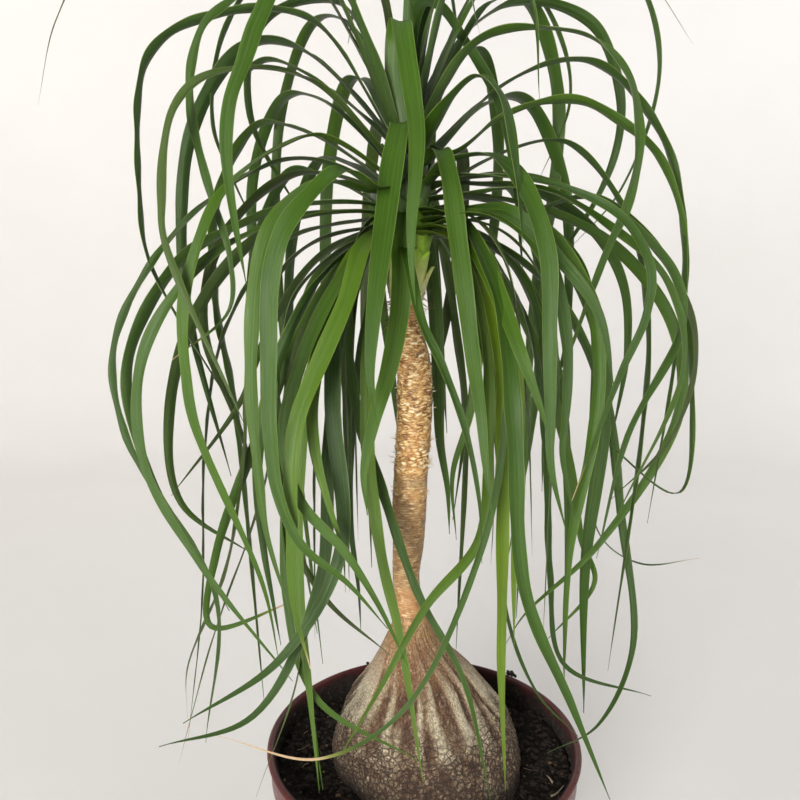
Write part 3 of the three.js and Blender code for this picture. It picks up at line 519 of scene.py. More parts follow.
def leaf_material():
    """Deep green straps with fine lengthwise veins, thin pale margins, painted shade that darkens the roots
    to olive and the blades seen edge-on, and a few dry tips.
    """
    material, tree, shader, output = new_material("leaf_green")
    tone, share, dryness, age = channels(tree, "leaf_facts")
    uv = node(tree, "ShaderNodeUVMap", uv_map="blade").outputs[0]
    blade = node(tree, "ShaderNodeSeparateXYZ", {"Vector": uv})
    across, along = blade.outputs["X"], blade.outputs["Y"]
    veins = strand_noise(tree, across, along, tone, (42, 3), 4.0)
    bands = strand_noise(tree, across, along, tone, (9, 1.6), 2.0)
    patches = strand_noise(tree, across, along, tone, (1.2, 9), 3.0)
    lightness = calc(tree, "ADD", times(tree, tone, 0.8), times(tree, patches, 0.3))
    green = ramp(tree, lightness, [
        (0.0, (0.008, 0.028, 0.002)),
        (0.3, (0.022, 0.064, 0.003)),
        (0.6, (0.050, 0.120, 0.005)),
        (0.85, (0.110, 0.200, 0.006)),
        (1.0, (0.190, 0.300, 0.010)),
    ])
    banded = mix(tree, span(tree, bands, 0.42, 0.64, 0.0, 0.4), green, (0.085, 0.160, 0.022))
    lined = mix(tree, span(tree, veins, 0.54, 0.70, 0.0, 0.42), banded, (0.14, 0.24, 0.03))
    grooved = mix(tree, span(tree, veins, 0.30, 0.46, 0.5, 0.0), lined, (0.010, 0.034, 0.003))
    from_middle = calc(tree, "ABSOLUTE", calc(tree, "SUBTRACT", across, 0.5))
    edged = mix(tree, span(tree, from_middle, 0.455, 0.495, 0.0, 0.5), grooved, (0.24, 0.32, 0.07))
    aged = mix(tree, age, edged, (0.052, 0.062, 0.010))
    # Painted shade: each leaf is darkened to olive near the crown.
    shaded_roots = mix(tree, span(tree, share, 0.02, 0.26, 0.7, 0.0), aged, (0.022, 0.042, 0.004))
    from_tip = swayed(tree, calc(tree, "SUBTRACT", 1.0, share), veins, 0.05)
    dry_edge = calc(tree, "SUBTRACT", dryness, from_tip)
    is_dry = span(tree, dryness, 0.006, 0.012)
    yellow_share = times(tree, is_dry, span(tree, dry_edge, -0.04, 0.0))
    yellowing = mix(tree, yellow_share, shaded_roots, (0.26, 0.27, 0.05))
    dry_share = times(tree, is_dry, span(tree, dry_edge, -0.01, 0.01))
    dried = mix(tree, dry_share, yellowing, (0.62, 0.44, 0.26))
    # Painted shade: blades seen edge-on are darkened.
    grazing = node(tree, "ShaderNodeLayerWeight", {"Blend": 0.3}).outputs["Facing"]
    edge_shaded = mix(tree, span(tree, grazing, 0.45, 0.95, 0.0, 0.7), dried, (0.014, 0.034, 0.003))
    dress(tree, shader, edge_shaded, span(tree, veins, 0.3, 0.7, 0.46, 0.26), 0.42)
    bump(tree, shader, veins, 0.7, 0.0008)
    glow = mix(tree, 0.55, edge_shaded, (0.17, 0.33, 0.004))
    through = node(tree, "ShaderNodeBsdfTranslucent", {"Color": glow})
    both = node(tree, "ShaderNodeMixShader", {"Fac": 0.22, 1: shader.outputs[0], 2: through.outputs[0]})
    tree.links.new(both.outputs[0], output.inputs["Surface"])
    return material


# Heights in metres between which the colours of the leaf bases change, and where their streaks fade
SHEATH_COLOURS = (0.646, 0.746)
SHEATH_STREAKS = (0.675, 0.70)


def sheath_material():
    """Clasping leaf bases: ivory at the foot, lime just above, and deep green from there up."""
    material, tree, shader, _ = new_material("leaf_sheath")
    height = node(tree, "ShaderNodeSeparateXYZ", {"Vector": place_vector(tree)}).outputs["Z"]
    grain = noise_at(tree, place_vector(tree, (900, 900, 40)), 1.0, 3.0)
    lifted = swayed(tree, height, grain, 0.016)
    colour = ramp(tree, span(tree, lifted, *SHEATH_COLOURS), [
        (0.0, (0.52, 0.27, 0.10)),
        (0.05, (1.0, 0.93, 0.58)),
        (0.24, (0.94, 0.98, 0.36)),
        (0.42, (0.50, 0.78, 0.08)),
        (0.62, (0.10, 0.21, 0.012)),
        (1.0, (0.030, 0.066, 0.008)),
    ])
    streaked = mix(tree, span(tree, grain, 0.5, 0.75, 0.0, 0.35), colour, (0.80, 0.92, 0.30))
    shown = mix(tree, span(tree, height, *SHEATH_STREAKS), streaked, colour)
    lined = mix(tree, span(tree, grain, 0.30, 0.42, 0.4, 0.0), shown, (0.10, 0.16, 0.02))
    dress(tree, shader, lined, 0.42)
    bump(tree, shader, grain, 0.5, 0.0008)
    return material


def trunk_material():
    """Papery bark: cream scale edges over orange brown, brightened by painted highlights, with painted
    shade in the dark gaps between, and greyer rings in the middle.
    """
    material, tree, shader, _ = new_material("trunk_bark")
    shade, ruddy, grey, _ = channels(tree, "relief")
    fine = noise_at(tree, place_vector(tree, (420, 420, 1250)), 1.0, 4.0, 0.65)
    cloud = noise_at(tree, place_vector(tree), 75, 3.0, 0.5)
    bark = ramp(tree, shade, [
        (0.0, (0.110, 0.042, 0.012)),
        (0.22, (0.34, 0.150, 0.040)),
        (0.45, (0.64, 0.38, 0.125)),
        (0.68, (0.90, 0.70, 0.36)),
        (0.95, (1.0, 0.96, 0.76)),
    ])
    golden = mix(tree, span(tree, cloud, 0.46, 0.64, 0.0, 0.5), bark, (0.60, 0.32, 0.095))
    dulled = mix(tree, times(tree, grey, 0.6), golden, (0.20, 0.135, 0.075))
    ruddied = mix(tree, times(tree, ruddy, 0.55), dulled, (0.46, 0.20, 0.06))
    speckled = mix(tree, span(tree, fine, 0.30, 0.46, 0.6, 0.0), ruddied, (0.20, 0.080, 0.022))
    bright = calc(tree, "SUBTRACT", 1.0, times(tree, grey, 0.65))
    flecks = times(tree, span(tree, fine, 0.56, 0.70, 0.0, 0.7), bright)
    flecked = mix(tree, flecks, speckled, (1.0, 0.92, 0.68))
    dress(tree, shader, flecked, 0.5)
    bump(tree, shader, fine, 0.7, 0.0008)
    return material


# Heights in metres between which the cork stops being darkened towards the bottom, gets its folds, turns
# rusty and golden
DARKENED_LOW_CORK = (0.222, 0.258)
FOLDED_CORK = (0.256, 0.286)
RUSTY_CORK = (0.290, 0.312)
GOLDEN_CORK = (0.318, 0.340)


def caudex_material():
    """Corky: golden at the neck, rusty below it, then cream folds, and cracked plates down to the soil,
    darker towards the bottom.
    """
    material, tree, shader, _ = new_material("caudex_cork")
    shade, low_dark, _, _ = channels(tree, "relief")
    height = node(tree, "ShaderNodeSeparateXYZ", {"Vector": place_vector(tree)}).outputs["Z"]
    clouds = noise_at(tree, place_vector(tree, (1, 1, 0.6)), 60, 4.0, 0.6)
    fine = noise_at(tree, place_vector(tree, (1, 1, 0.6)), 560, 5.0, 0.65)
    flecks = noise_at(tree, place_vector(tree, (1, 1, 0.45)), 260, 4.0, 0.6)
    level = swayed(tree, height, clouds, 0.05)
    low_cracks = crack_lines(tree, (1, 1, 1.2), 175, 0.15)
    small_cracks = crack_lines(tree, (1, 1, 1.1), 390, 0.17)
    high_cracks = crack_lines(tree, (1, 1, 0.2), 460, 0.16)
    low_lines = calc(tree, "MAXIMUM", low_cracks, times(tree, small_cracks, 0.6))
    cracks = mix_value(tree, span(tree, level, *FOLDED_CORK), low_lines, times(tree, high_cracks, 0.4))
    tinted = swayed(tree, shade, clouds, 0.6)
    cork = ramp(tree, tinted, [
        (0.0, (0.050, 0.020, 0.010)),
        (0.25, (0.14, 0.066, 0.032)),
        (0.45, (0.27, 0.175, 0.100)),
        (0.65, (0.46, 0.355, 0.225)),
        (1.0, (0.74, 0.65, 0.46)),
    ])
    # Darker towards the bottom of the caudex.
    lowered = mix(tree, span(tree, level, *DARKENED_LOW_CORK, 0.45, 0.0), cork, (0.075, 0.052, 0.032))
    rusty = mix(tree, span(tree, level, *RUSTY_CORK, 0.0, 0.6), lowered, (0.34, 0.17, 0.080))
    golden = mix(tree, span(tree, level, *GOLDEN_CORK, 0.0, 0.7), rusty, (0.47, 0.27, 0.105))
    spotted = mix(tree, span(tree, flecks, 0.54, 0.66, 0.0, 0.4), golden, (0.66, 0.54, 0.36))
    cracked = mix(tree, times(tree, cracks, 0.95), spotted, (0.030, 0.014, 0.008))
    speckled = mix(tree, span(tree, fine, 0.32, 0.48, 0.4, 0.0), cracked, (0.070, 0.034, 0.018))
    flecked = mix(tree, span(tree, fine, 0.60, 0.74, 0.0, 0.3), speckled, (0.66, 0.57, 0.41))
    # Darker towards the bottom of the caudex, near the soil.
    darkened_foot = mix(tree, low_dark, flecked, (0.026, 0.017, 0.011))
    dress(tree, shader, darkened_foot, 0.8)
    bump(tree, shader, calc(tree, "SUBTRACT", fine, cracks), 1.0, 0.0016)
    return material


def soil_material():
    material, tree, shader, _ = new_material("potting_soil")
    grit = noise_at(tree, place_vector(tree), 380, 6.0, 0.7)
    clods = noise_at(tree, place_vector(tree), 90, 3.0)
    dark = ramp(tree, grit, [
        (0.3, (0.003, 0.002, 0.0015)),
        (0.52, (0.010, 0.007, 0.004)),
        (0.66, (0.026, 0.018, 0.011)),
        (0.78, (0.10, 0.07, 0.045)),
    ])
    damp = mix(tree, span(tree, clods, 0.4, 0.65, 0.0, 0.6), dark, (0.005, 0.0035, 0.0025))
    dress(tree, shader, damp, 0.95, 0.2)
    bump(tree, shader, grit, 1.0, 0.003)
    return material


def crumb_material(name, dark, light, roughness):
    material, tree, shader, _ = new_material(name)
    grain = noise_at(tree, place_vector(tree), 700, 4.0, 0.6)
    colour = ramp(tree, grain, [(0.3, dark), (0.7, light)])
    dress(tree, shader, colour, roughness)
    bump(tree, shader, grain, 0.6, 0.0008)
    return material


# In metres: radii between which the pot's inside begins, heights between which its soiled part begins, and
# heights between which the stuck soil ends
INNER_WALL = (0.1435, 0.1455)
ABOVE_SOIL = (0.19, 0.2)
SOIL_LINE = (0.220, 0.226)


def pot_material():
    """Maroon moulded plastic, a little dusty, with soil stuck to the inside up to the lip."""
    material, tree, shader, _ = new_material("pot_maroon")
    place = place_vector(tree)
    split = node(tree, "ShaderNodeSeparateXYZ", {"Vector": place})
    level = node(tree, "ShaderNodeCombineXYZ", {"X": split.outputs["X"], "Y": split.outputs["Y"]})
    radius = node(tree, "ShaderNodeVectorMath", {0: level.outputs[0]}, operation="LENGTH").outputs["Value"]
    height = split.outputs["Z"]
    cloud = noise_at(tree, place, 14, 4.0)
    clods = noise_at(tree, place, 55, 4.0, 0.6)
    specks = noise_at(tree, place, 260, 5.0, 0.65)
    body = mix(tree, span(tree, cloud, 0.35, 0.7), (0.060, 0.009, 0.008), (0.105, 0.015, 0.012))
    dusty = mix(tree, span(tree, specks, 0.6, 0.78, 0.0, 0.25), body, (0.30, 0.13, 0.10))
    inside = span(tree, radius, *INNER_WALL, 1.0, 0.0)
    within = times(tree, inside, span(tree, height, *ABOVE_SOIL))
    soil_line = span(tree, swayed(tree, height, clods, 0.04), *SOIL_LINE, 1.0, 0.0)
    shaded = mix(tree, times(tree, within, 0.75), dusty, (0.030, 0.005, 0.005))
    crusted = mix(tree, span(tree, specks, 0.35, 0.6), (0.004, 0.003, 0.002), (0.022, 0.014, 0.010))
    soiled = mix(tree, times(tree, within, soil_line), shaded, crusted)
    rough = calc(tree, "MAXIMUM", span(tree, specks, 0.3, 0.75, 0.24, 0.45), times(tree, within, 0.9))
    dress(tree, shader, soiled, rough, 0.32)
    bump(tree, shader, specks, 0.15, 0.0006)
    return material


# Meshes


def piece(name, points, faces, material, slot, replaced=(), colours=None, uv=None, sharp=None):
    """A named mesh in metres that rides with the plant. colours is (name, values a point)."""
    mesh = bpy.data.meshes.new(name)
    mesh.from_pydata(np.asarray(points).tolist(), [], [list(map(int, f)) for f in faces])
    mesh.update()
    mesh.polygons.foreach_set("use_smooth", [True] * len(mesh.polygons))
    if sharp is not None:
        mesh.set_sharp_from_angle(angle=math.radians(sharp))
    if colours:
        title, values = colours
        layer = mesh.color_attributes.new(title, "FLOAT_COLOR", "POINT")
        layer.data.foreach_set("color", np.asarray(values, dtype=np.float32).ravel())
    if uv is not None:
        layer = mesh.uv_layers.new(name="blade")
        corners = np.empty(len(mesh.loops), dtype=np.int32)
        mesh.loops.foreach_get("vertex_index", corners)
        layer.data.foreach_set("uv", np.asarray(uv, dtype=np.float32)[corners].ravel())
    made = bpy.data.objects.new(name, mesh)
    bpy.context.scene.collection.objects.link(made)
    made.data.materials.append(material)
    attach(made, "root")
    if replaced:
        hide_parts(*replaced)
    return made


def ring_faces(rings, sides):
    """Quads between rings that follow each other, with a face over each end."""
    faces = []
    for low in range(0, (rings - 1) * sides, sides):
        for i in range(sides):
            j = (i + 1) % sides
            faces.append((low + i, low + j, low + sides + j, low + sides + i))
    last = (rings - 1) * sides
    faces.append(tuple(range(sides - 1, -1, -1)))
    faces.append(tuple(range(last, last + sides)))
    return faces


class Gather:
    """Collects the points, faces and values of many small bodies for one piece."""

    def __init__(self):
        self.points, self.faces, self.values, self.uv = [], [], [], []
        self.count = 0

    def add(self, points, faces, values=None, uv=None):
        self.points.append(np.asarray(points, dtype=float))
        self.faces.extend(tuple(self.count + i for i in face) for face in faces)
        if values is not None:
            self.values.append(np.asarray(values, dtype=float))
        if uv is not None:
            self.uv.append(np.asarray(uv, dtype=float))
        self.count += len(points)

    def make(self, name, material, slot, colour_name=None, **more):
        colours = (colour_name, np.concatenate(self.values)) if colour_name else None
        uv = np.concatenate(self.uv) if self.uv else None
        points = np.concatenate(self.points) * MM
        return piece(name, points, self.faces, material, slot, colours=colours, uv=uv, **more)


# Leaves


def unit(vector):
    return vector / np.linalg.norm(vector)


def centripetal_point(points, t):
    """A point of the centripetal Catmull-Rom curve through points, with t from 0 to 1."""
    last = len(points) - 1
    place = last * t
    index = min(int(place), last - 1)
    weight = place - index
    p1, p2 = points[index], points[index + 1]
    p0 = points[index - 1] if index > 0 else 2 * p1 - p2
    p3 = points[index + 2] if index + 2 <= last else 2 * p2 - p1
    d0, d1, d2 = (np.dot(b - a, b - a) ** 0.25 for a, b in ((p0, p1), (p1, p2), (p2, p3)))
    m1 = ((p1 - p0) / d0 - (p2 - p0) / (d0 + d1) + (p2 - p1) / d1) * d1
    m2 = ((p2 - p1) / d1 - (p3 - p1) / (d1 + d2) + (p3 - p2) / d2) * d1
    cubic = 2 * p1 - 2 * p2 + m1 + m2
    square = -3 * p1 + 3 * p2 - 2 * m1 - m2
    return p1 + m1 * weight + square * weight**2 + cubic * weight**3


def turned_about(vector, axis, angle):
    """vector turned about a unit axis."""
    along = axis * np.dot(axis, vector) * (1 - math.cos(angle))
    return vector * math.cos(angle) + np.cross(axis, vector) * math.sin(angle) + along


def leaf_frames(row):
    """Places, directions across, upper faces, shares and distances along a leaf, as in the solids."""
    _, root, turn, *points = row
    out = unit(np.array([points[0][0] - CROWN_AXIS_X, points[0][1]]))
    stub = [
        np.array([CROWN_AXIS_X + out[0] * reach, out[1] * reach, root + rise])
        for reach, rise in ((STUB_START, 0), (STUB_REACH, STUB_RISE))
    ]
    route = stub + [np.array(p, dtype=float) for p in points]
    count = (len(route) - 1) * SPAN_SAMPLES
    places = np.array([centripetal_point(route, i / count) for i in range(count + 1)])
    steps = np.linalg.norm(np.diff(places, axis=0), axis=1)
    distances = np.concatenate([[0], np.cumsum(steps)])
    face = unit(np.array([-out[0], -out[1], FACE_LEAN]))
    across, faces = [], []
    for i in range(count + 1):
        ahead = unit(places[min(i + 1, count)] - places[max(i - 1, 0)])
        face = unit(face - ahead * np.dot(face, ahead))
        roll = math.radians(turn) * smooth_step(distances[i] / distances[-1], *TURN_SHARES)
        edge_shaded = turned_about(face, ahead, roll)
        across.append(np.cross(edge_shaded, ahead))
        faces.append(edge_shaded)
    return places, np.array(across), np.array(faces), distances / distances[-1], distances


def blade_width(width, share, tip_share):
    taper = (1 - share**TAPER_POWER) ** TAPER_SOFTNESS
    spread = between(BASE_SPREAD, np.minimum(1, share / SPREAD_SHARE))
    return width * np.maximum(tip_share, spread * taper)


# A blade's points across one face, its thickness, the half width from which it is that thick, the share of
# that thickness lost at its margins, and the share of its width left at the tip
BLADE_POINTS = 7
BLADE_THICKNESS = 0.8
THICK_HALF = 2.5
MARGIN_LOSS = 0.6
FINE_TIP = 0.05

# A blade's channel: its depth as a share of the half width, the share of that depth lost by the tip, how
# it curves up from the middle, and the share of that depth by which its middle lies under the measured line
CHANNEL_DEPTH = 0.34
CHANNEL_LOSS = 0.55
CHANNEL_POWER = 1.5
CHANNEL_SINK = 0.4

# A blade's waves: their depth as a share of the half width, the share of the leaf along which they grow to
# it, how long they are, and a full turn, rounded
WAVE_DEPTH = 0.10
WAVE_GROWTH = 0.2
WAVE_LENGTHS = (45, 95)
WAVE_TURN = 6.28


def add_leaf(gather, row, facts, draw):
    """A closed blade: channelled along its middle, a little wavy, thin at its margins."""
    places, across, faces, share, distances = leaf_frames(row)
    half = blade_width(row[0], share, FINE_TIP) / 2
    across_at = np.linspace(-1, 1, BLADE_POINTS)
    phase, beat = WAVE_TURN * draw(), between(WAVE_LENGTHS, draw())
    channel = CHANNEL_DEPTH * half * (1 - CHANNEL_LOSS * share)
    swing = np.sin(distances / beat * WAVE_TURN + phase)
    wave = WAVE_DEPTH * half * swing * np.minimum(1, share / WAVE_GROWTH)
    thickness = BLADE_THICKNESS * np.minimum(1, half / THICK_HALF)
    skin = []
    for side in (1, -1):
        for a in across_at[::side]:
            lift = channel * (abs(a) ** CHANNEL_POWER - CHANNEL_SINK) + wave * a * abs(a)
            lift = lift + side * thickness / 2 * (1 - MARGIN_LOSS * a * a)
            skin.append(places + across * (half * a)[:, None] + faces * lift[:, None])
    points = np.stack(skin, axis=1).reshape(-1, 3)
    u = np.concatenate([across_at, across_at[::-1]]) / 2 + 0.5
    uv = np.stack([np.tile(u, len(places)), np.repeat(distances * MM, 2 * BLADE_POINTS)], axis=1)
    tone, dryness, aged = facts
    values = [(tone, reached, dryness, aged) for reached in np.repeat(share, 2 * BLADE_POINTS)]
    gather.add(points, ring_faces(len(places), 2 * BLADE_POINTS), values, uv)


# Pieces of leaves, each with the heights between which its leaves root
LEAF_GROUPS = [("leaves_low", 0, 708), ("leaves_middle", 708, 760), ("leaves_top", 760, 2000)]

# How olive an old leaf gets at most, and the draws between which a leaf turns from young to old
MOST_AGED = 0.6
AGED_DRAWS = (0.7, 0.95)


def build_leaves(material):
    """Three pieces of leaves, by the height of their roots, which stand for the leaf crown."""
    gathers = {name: Gather() for name, _, _ in LEAF_GROUPS}
    draw = draw_from(seed=11)
    rows = [*MEASURED_LEAVES, *back_leaves(), *curtain_leaves(), *young_leaves()]
    for index, row in enumerate(rows):
        tone = LEAF_TONES_AND_SHADE.get(index, between(PLAIN_TONES, draw()))
        aged = MOST_AGED * smooth_step(draw(), *AGED_DRAWS)
        facts = (tone, DRY_TIPS.get(index, 0), aged if index not in LEAF_TONES_AND_SHADE else 0)
        name = next(name for name, low, high in LEAF_GROUPS if low <= row[1] < high)
        add_leaf(gathers[name], row, facts, draw)
    for name, gather in gathers.items():
        gather.make(name, material, "leaf", "leaf_facts", replaced=("leaf_crown",), sharp=50)


# The crown's stem as in the solids: rise above the trunk and radius
CROWN_PROFILE = [
    (0, SHEATH_RADIUS - 2),
    (10, SHEATH_RADIUS),
    (36, SHEATH_RADIUS + 1),
    (62, CROWN_RADIUS),
    (105, CROWN_RADIUS),
    (145, CROWN_RADIUS - 6),
    (185, 0.5),
]
CROWN_SIDES = 48
CROWN_RINGS = 40
CROWN_RISE = 184

# Clasping leaf bases: how many, the points of each across and up, how far each roots above the one before,
# how tall it is, how far it reaches round the stem in degrees, and how far its top stands off
CLASPS = 74
CLASP_COLUMNS = 9
CLASP_LEVELS = 10
CLASP_STEP = 1.7
CLASP_TALL = (26, 42)
CLASP_WRAP = (64, 38)
CLASP_FLARE = (3, 10)

# The form of one: the share of its spread lost at its top, how its top curves off, the share of that lost
# at its margins, its gap to the stem, and how far its face and its back lie from there
CLASP_NARROWING = 0.45
FLARE_POWER = 2.2
FLARE_LOSS = 0.25
CLASP_GAP = 0.5
CLASP_FACE = (1.3, 0.5)
CLASP_BACK = (-0.2, -0.2)


def crown_radius(height):
    """Radius of the stem inside the leaf bases, as in the solids."""
    rises, radii = zip(*CROWN_PROFILE)
    return np.interp(height - TRUNK_TOP, rises, radii)


def add_clasp(gather, middle, foot, tall, wrap, outward):
    """One clasping base: a curved blade that narrows upwards, stands off at its top and ends in a point."""
    top_points, under_points = [], []
    for level in range(CLASP_LEVELS):
        t = level / (CLASP_LEVELS - 1)
        height = foot + tall * t
        spread = wrap * (1 - CLASP_NARROWING * t) * math.sqrt(max(1 - t**3, 0.004))
        flare = outward * t**FLARE_POWER
        base = crown_radius(height) + CLASP_GAP
        for column in range(CLASP_COLUMNS):
            a = -1 + 2 * column / (CLASP_COLUMNS - 1)
            angle = middle + spread * a
            for points, depth in ((top_points, CLASP_FACE), (under_points, CLASP_BACK)):
                radius = base + flare * (1 - FLARE_LOSS * a * a) + between(depth, abs(a))
                points.append(around(angle, radius, height, CROWN_AXIS_X))
    skin = []
    for level in range(CLASP_LEVELS):
        cut = slice(level * CLASP_COLUMNS, (level + 1) * CLASP_COLUMNS)
        skin += top_points[cut] + under_points[cut][::-1]
    gather.add(skin, ring_faces(CLASP_LEVELS, 2 * CLASP_COLUMNS))


def build_crown(material):
    """The sheathed stem and the clasping bases of the leaves, one over another."""
    gather = Gather()
    core = []
    for r in range(CROWN_RINGS):
        height = TRUNK_TOP + 0.3 + CROWN_RISE * r / (CROWN_RINGS - 1)
        for angle in turn_angles(CROWN_SIDES):
            worn = noise.noise((3 * math.cos(angle), 3 * math.sin(angle), height / 30))
            radius = max(crown_radius(height) - 0.8 + 0.5 * worn, 0.3)
            core.append(around(angle, radius, height, CROWN_AXIS_X))
    gather.add(core, ring_faces(CROWN_RINGS, CROWN_SIDES))
    draw = draw_from(seed=5)
    for c in range(CLASPS):
        middle = math.radians(GOLDEN_ANGLE * c + 14 * draw())
        foot = TRUNK_TOP + 1 + CLASP_STEP * c + 2 * draw()
        tall = between(CLASP_TALL, draw())
        wrap = math.radians(between(CLASP_WRAP, draw()))
        add_clasp(gather, middle, foot, tall, wrap, between(CLASP_FLARE, draw()))
    gather.make("leaf_bases", material, "leaf", sharp=60)


# The woody body as in the solids: height, radius, and the x and y of its middle
WOOD_PROFILE = [
    (148, 34, 4, 0),
    (160, 58, 5, 0),
    (178, 77, 6, 0),
    (198, 88, 6, 0),
    (216, 90, 5.5, 0),
    (238, 86, 2.5, 0),
    (258, 78, -1, 0),
    (278, 62, -2.5, 0),
    (299, 47, -4, 0),
    (319, 32.5, -8.5, 0),
    (332, 24, -11.5, 0),
    (346, 18, -12.5, 0),
    (358, 15, -13.5, -1),
    (370, 13.5, -15, -2),
    (388, 13, -17, -2),
    (424, 15, -15, -2),
    (461, 16.3, -14, -1),
    (497, 16, -12.5, 0),
    (534, 16.5, -10, 0),
    (562, 16.5, -9.5, 0),
    (590, 16, -10, 0),
    (615, 13.5, -13.5, 0),
    (630, 12, -16, 0),
    (TRUNK_TOP, 13.5, CROWN_AXIS_X, 0),
]
CAUDEX_TOP = 340
LUMP_FADE = 60
LUMP_DEPTH = 0.05


def smooth_between(value, places, amounts):
    """A smooth curve through amounts at places, with the slope at each place from its neighbours."""
    places, amounts = np.asarray(places, dtype=float), np.asarray(amounts, dtype=float)
    slopes = np.gradient(amounts, places)
    index = int(np.clip(np.searchsorted(places, value) - 1, 0, len(places) - 2))
    gap = places[index + 1] - places[index]
    t = (value - places[index]) / gap
    near = (1 + 2 * t) * (1 - t) ** 2 * amounts[index] + t * (1 - t) ** 2 * gap * slopes[index]
    return near + t * t * (3 - 2 * t) * amounts[index + 1] - t * t * (1 - t) * gap * slopes[index + 1]


def wood_at(height):
    """Radius and centre of the woody body at a height."""
    heights = [row[0] for row in WOOD_PROFILE]
    return [smooth_between(height, heights, [row[k] for row in WOOD_PROFILE]) for k in (1, 2, 3)]


# The trunk's mesh starts inside the caudex's, and their relief fades out at the seam. SINK is the relief
# that lies at the measured radius, and the trunk's mesh is smaller than the solid by TRUNK_INSET.
TRUNK_FOOT = 349
TRUNK_SIDES = 130
TRUNK_RINGS = 640
TRUNK_SINK = 0.2
TRUNK_INSET = 0.3
CAUDEX_FOOT = 150
CAUDEX_SIDES = 420
CAUDEX_RINGS = 230
CAUDEX_SINK = 0.8
OUTLINE_SAMPLES = 500
NECK_TOP = 356
SEAM_FADE = 8

# The trunk's bark: heights between which it turns from smooth to coarse, frayed belts with their middle,
# spread and strength, a grey belt, and heights between which it turns grey and ruddy
ROUGH_HEIGHTS = (482, 498)
FRAYED_BELTS = [(508, 15, 1), (475, 4, 0.5)]
GREY_BELT = (484, 7)
GREY_BELOW = (492, 446)
RUDDY_BELOW = (398, 364)
RUDDY_ABOVE = (610, 640)

# The caudex's cork: heights between which the neck begins and the folds begin, and where it turns darker
# towards the bottom
NECK_HEIGHTS = (308, 345)
FOLD_HEIGHTS = (240, 268)
DARK_FOOT_TOP = 222
DARK_FOOT_FADE = 22


def belt(height, middle, spread):
    """1 at the middle of a belt, and close to 0 beyond twice its spread."""
    return math.exp(-(((height - middle) / spread) ** 2))


def plate(place, gap):
    """A pattern of plates: 0 along the gaps between them and 1 on them."""
    distances, _ = noise.voronoi(place)
    return clamp((distances[1] - distances[0]) / gap, 0, 1)


def trunk_relief(angle, height, radius):
    """How far the bark stands out at a place, its shade with painted highlights on the scale edges and
    painted shade in the gaps under them, how ruddy and how grey it is.
    """
    x, y = math.cos(angle) * radius, math.sin(angle) * radius
    rough = smooth_step(height, *ROUGH_HEIGHTS)
    shaggy = sum(strength * belt(height, middle, spread) for middle, spread, strength in FRAYED_BELTS)
    sway = noise.noise((x / 11, y / 11, height / 26))
    jag = noise.noise((x / 3.2, y / 3.2, height / 7))
    pitch = 2.3 + 0.5 * rough
    climb = height / pitch + (0.5 + 1.1 * rough) * sway + (0.12 + 0.22 * rough) * jag
    row = math.floor(climb)
    bow = abs(math.sin(2 * angle + 2.4 * row))
    climb += 0.4 * rough * bow
    row, part = math.floor(climb), climb - math.floor(climb)
    lip = smooth_step(part, 0.05, 0.5) * (1 - smooth_step(part, 0.86, 1.0))
    scale = plate((x / 7.5 + 0.4 * sway, y / 7.5, height / 2.4), 0.45)
    knot = plate((x / 7.5, y / 7.5, height / 3.6 + 3), 0.5)
    whole = noise.noise((x / 5.5, y / 5.5, row * 3.7))
    worn = noise.noise((x / 1.6, y / 1.6, height / 0.8))
    lumps = noise.noise((x / 7, y / 7, height / 6 + 5))
    # The shades make ring lips and plates light and the gaps between them dark: the bark's own cream and
    # brown, with painted highlights on the lips and painted shade in the gaps.
    ring = clamp(0.55 + 0.9 * whole, 0, 1) * lip
    shag = min(1, shaggy)
    stand = (0.25 + 0.35 * rough) * (ring - 0.3) + 0.45 * rough * (scale - 0.4) + 1.9 * shag * (knot - 0.4)
    stand += 0.2 * worn + (0.2 + 0.3 * rough + 0.7 * shag) * lumps
    coarse = 0.04 + 0.40 * ring + 0.42 * scale + 0.30 * whole + 0.30 * worn + 0.16 * lumps
    tufted = 0.05 + 0.74 * knot + 0.22 * scale + 0.26 * worn + 0.22 * lumps
    smooth = 0.20 + 0.46 * ring + 0.22 * whole + 0.22 * worn + 0.12 * sway
    shade = smooth + (coarse - smooth) * rough
    shade = clamp(shade + (tufted - shade) * shag, 0, 1)
    ends = 0.8 * max(smooth_step(height, *RUDDY_BELOW), smooth_step(height, *RUDDY_ABOVE))
    patch = smooth_step(noise.noise((x / 9, y / 9, height / 9 + 11)), 0.12, 0.5)
    ruddy = clamp(ends * (0.85 + 0.9 * sway) + 0.5 * patch, 0, 1)
    grey = belt(height, *GREY_BELT) * clamp(0.8 + sway, 0, 1)
    grey = max(grey, smooth_step(height, *GREY_BELOW) * clamp(0.8 + 0.6 * sway, 0, 1))
    return stand, shade, ruddy, grey


def make_wood(name, points, values, rings, sides, material):
    gather = Gather()
    gather.add(points, ring_faces(rings, sides), values)
    gather.make(name, material, "bark", "relief", replaced=("caudex_and_trunk",))


def build_trunk(material):
    points, values = [], []
    for r in range(TRUNK_RINGS):
        height = TRUNK_FOOT + (TRUNK_TOP - TRUNK_FOOT) * r / (TRUNK_RINGS - 1)
        radius, x, y = wood_at(height)
        fade = clamp((height - TRUNK_FOOT) / SEAM_FADE, 0, 1)
        for angle in turn_angles(TRUNK_SIDES):
            stand, *looks = trunk_relief(angle, height, radius)
            out = radius + (stand - TRUNK_SINK) * fade - TRUNK_INSET
            points.append(around(angle, out, height, x, y))
            values.append((*looks, 1))
    make_wood("trunk", points, values, TRUNK_RINGS, TRUNK_SIDES, material)


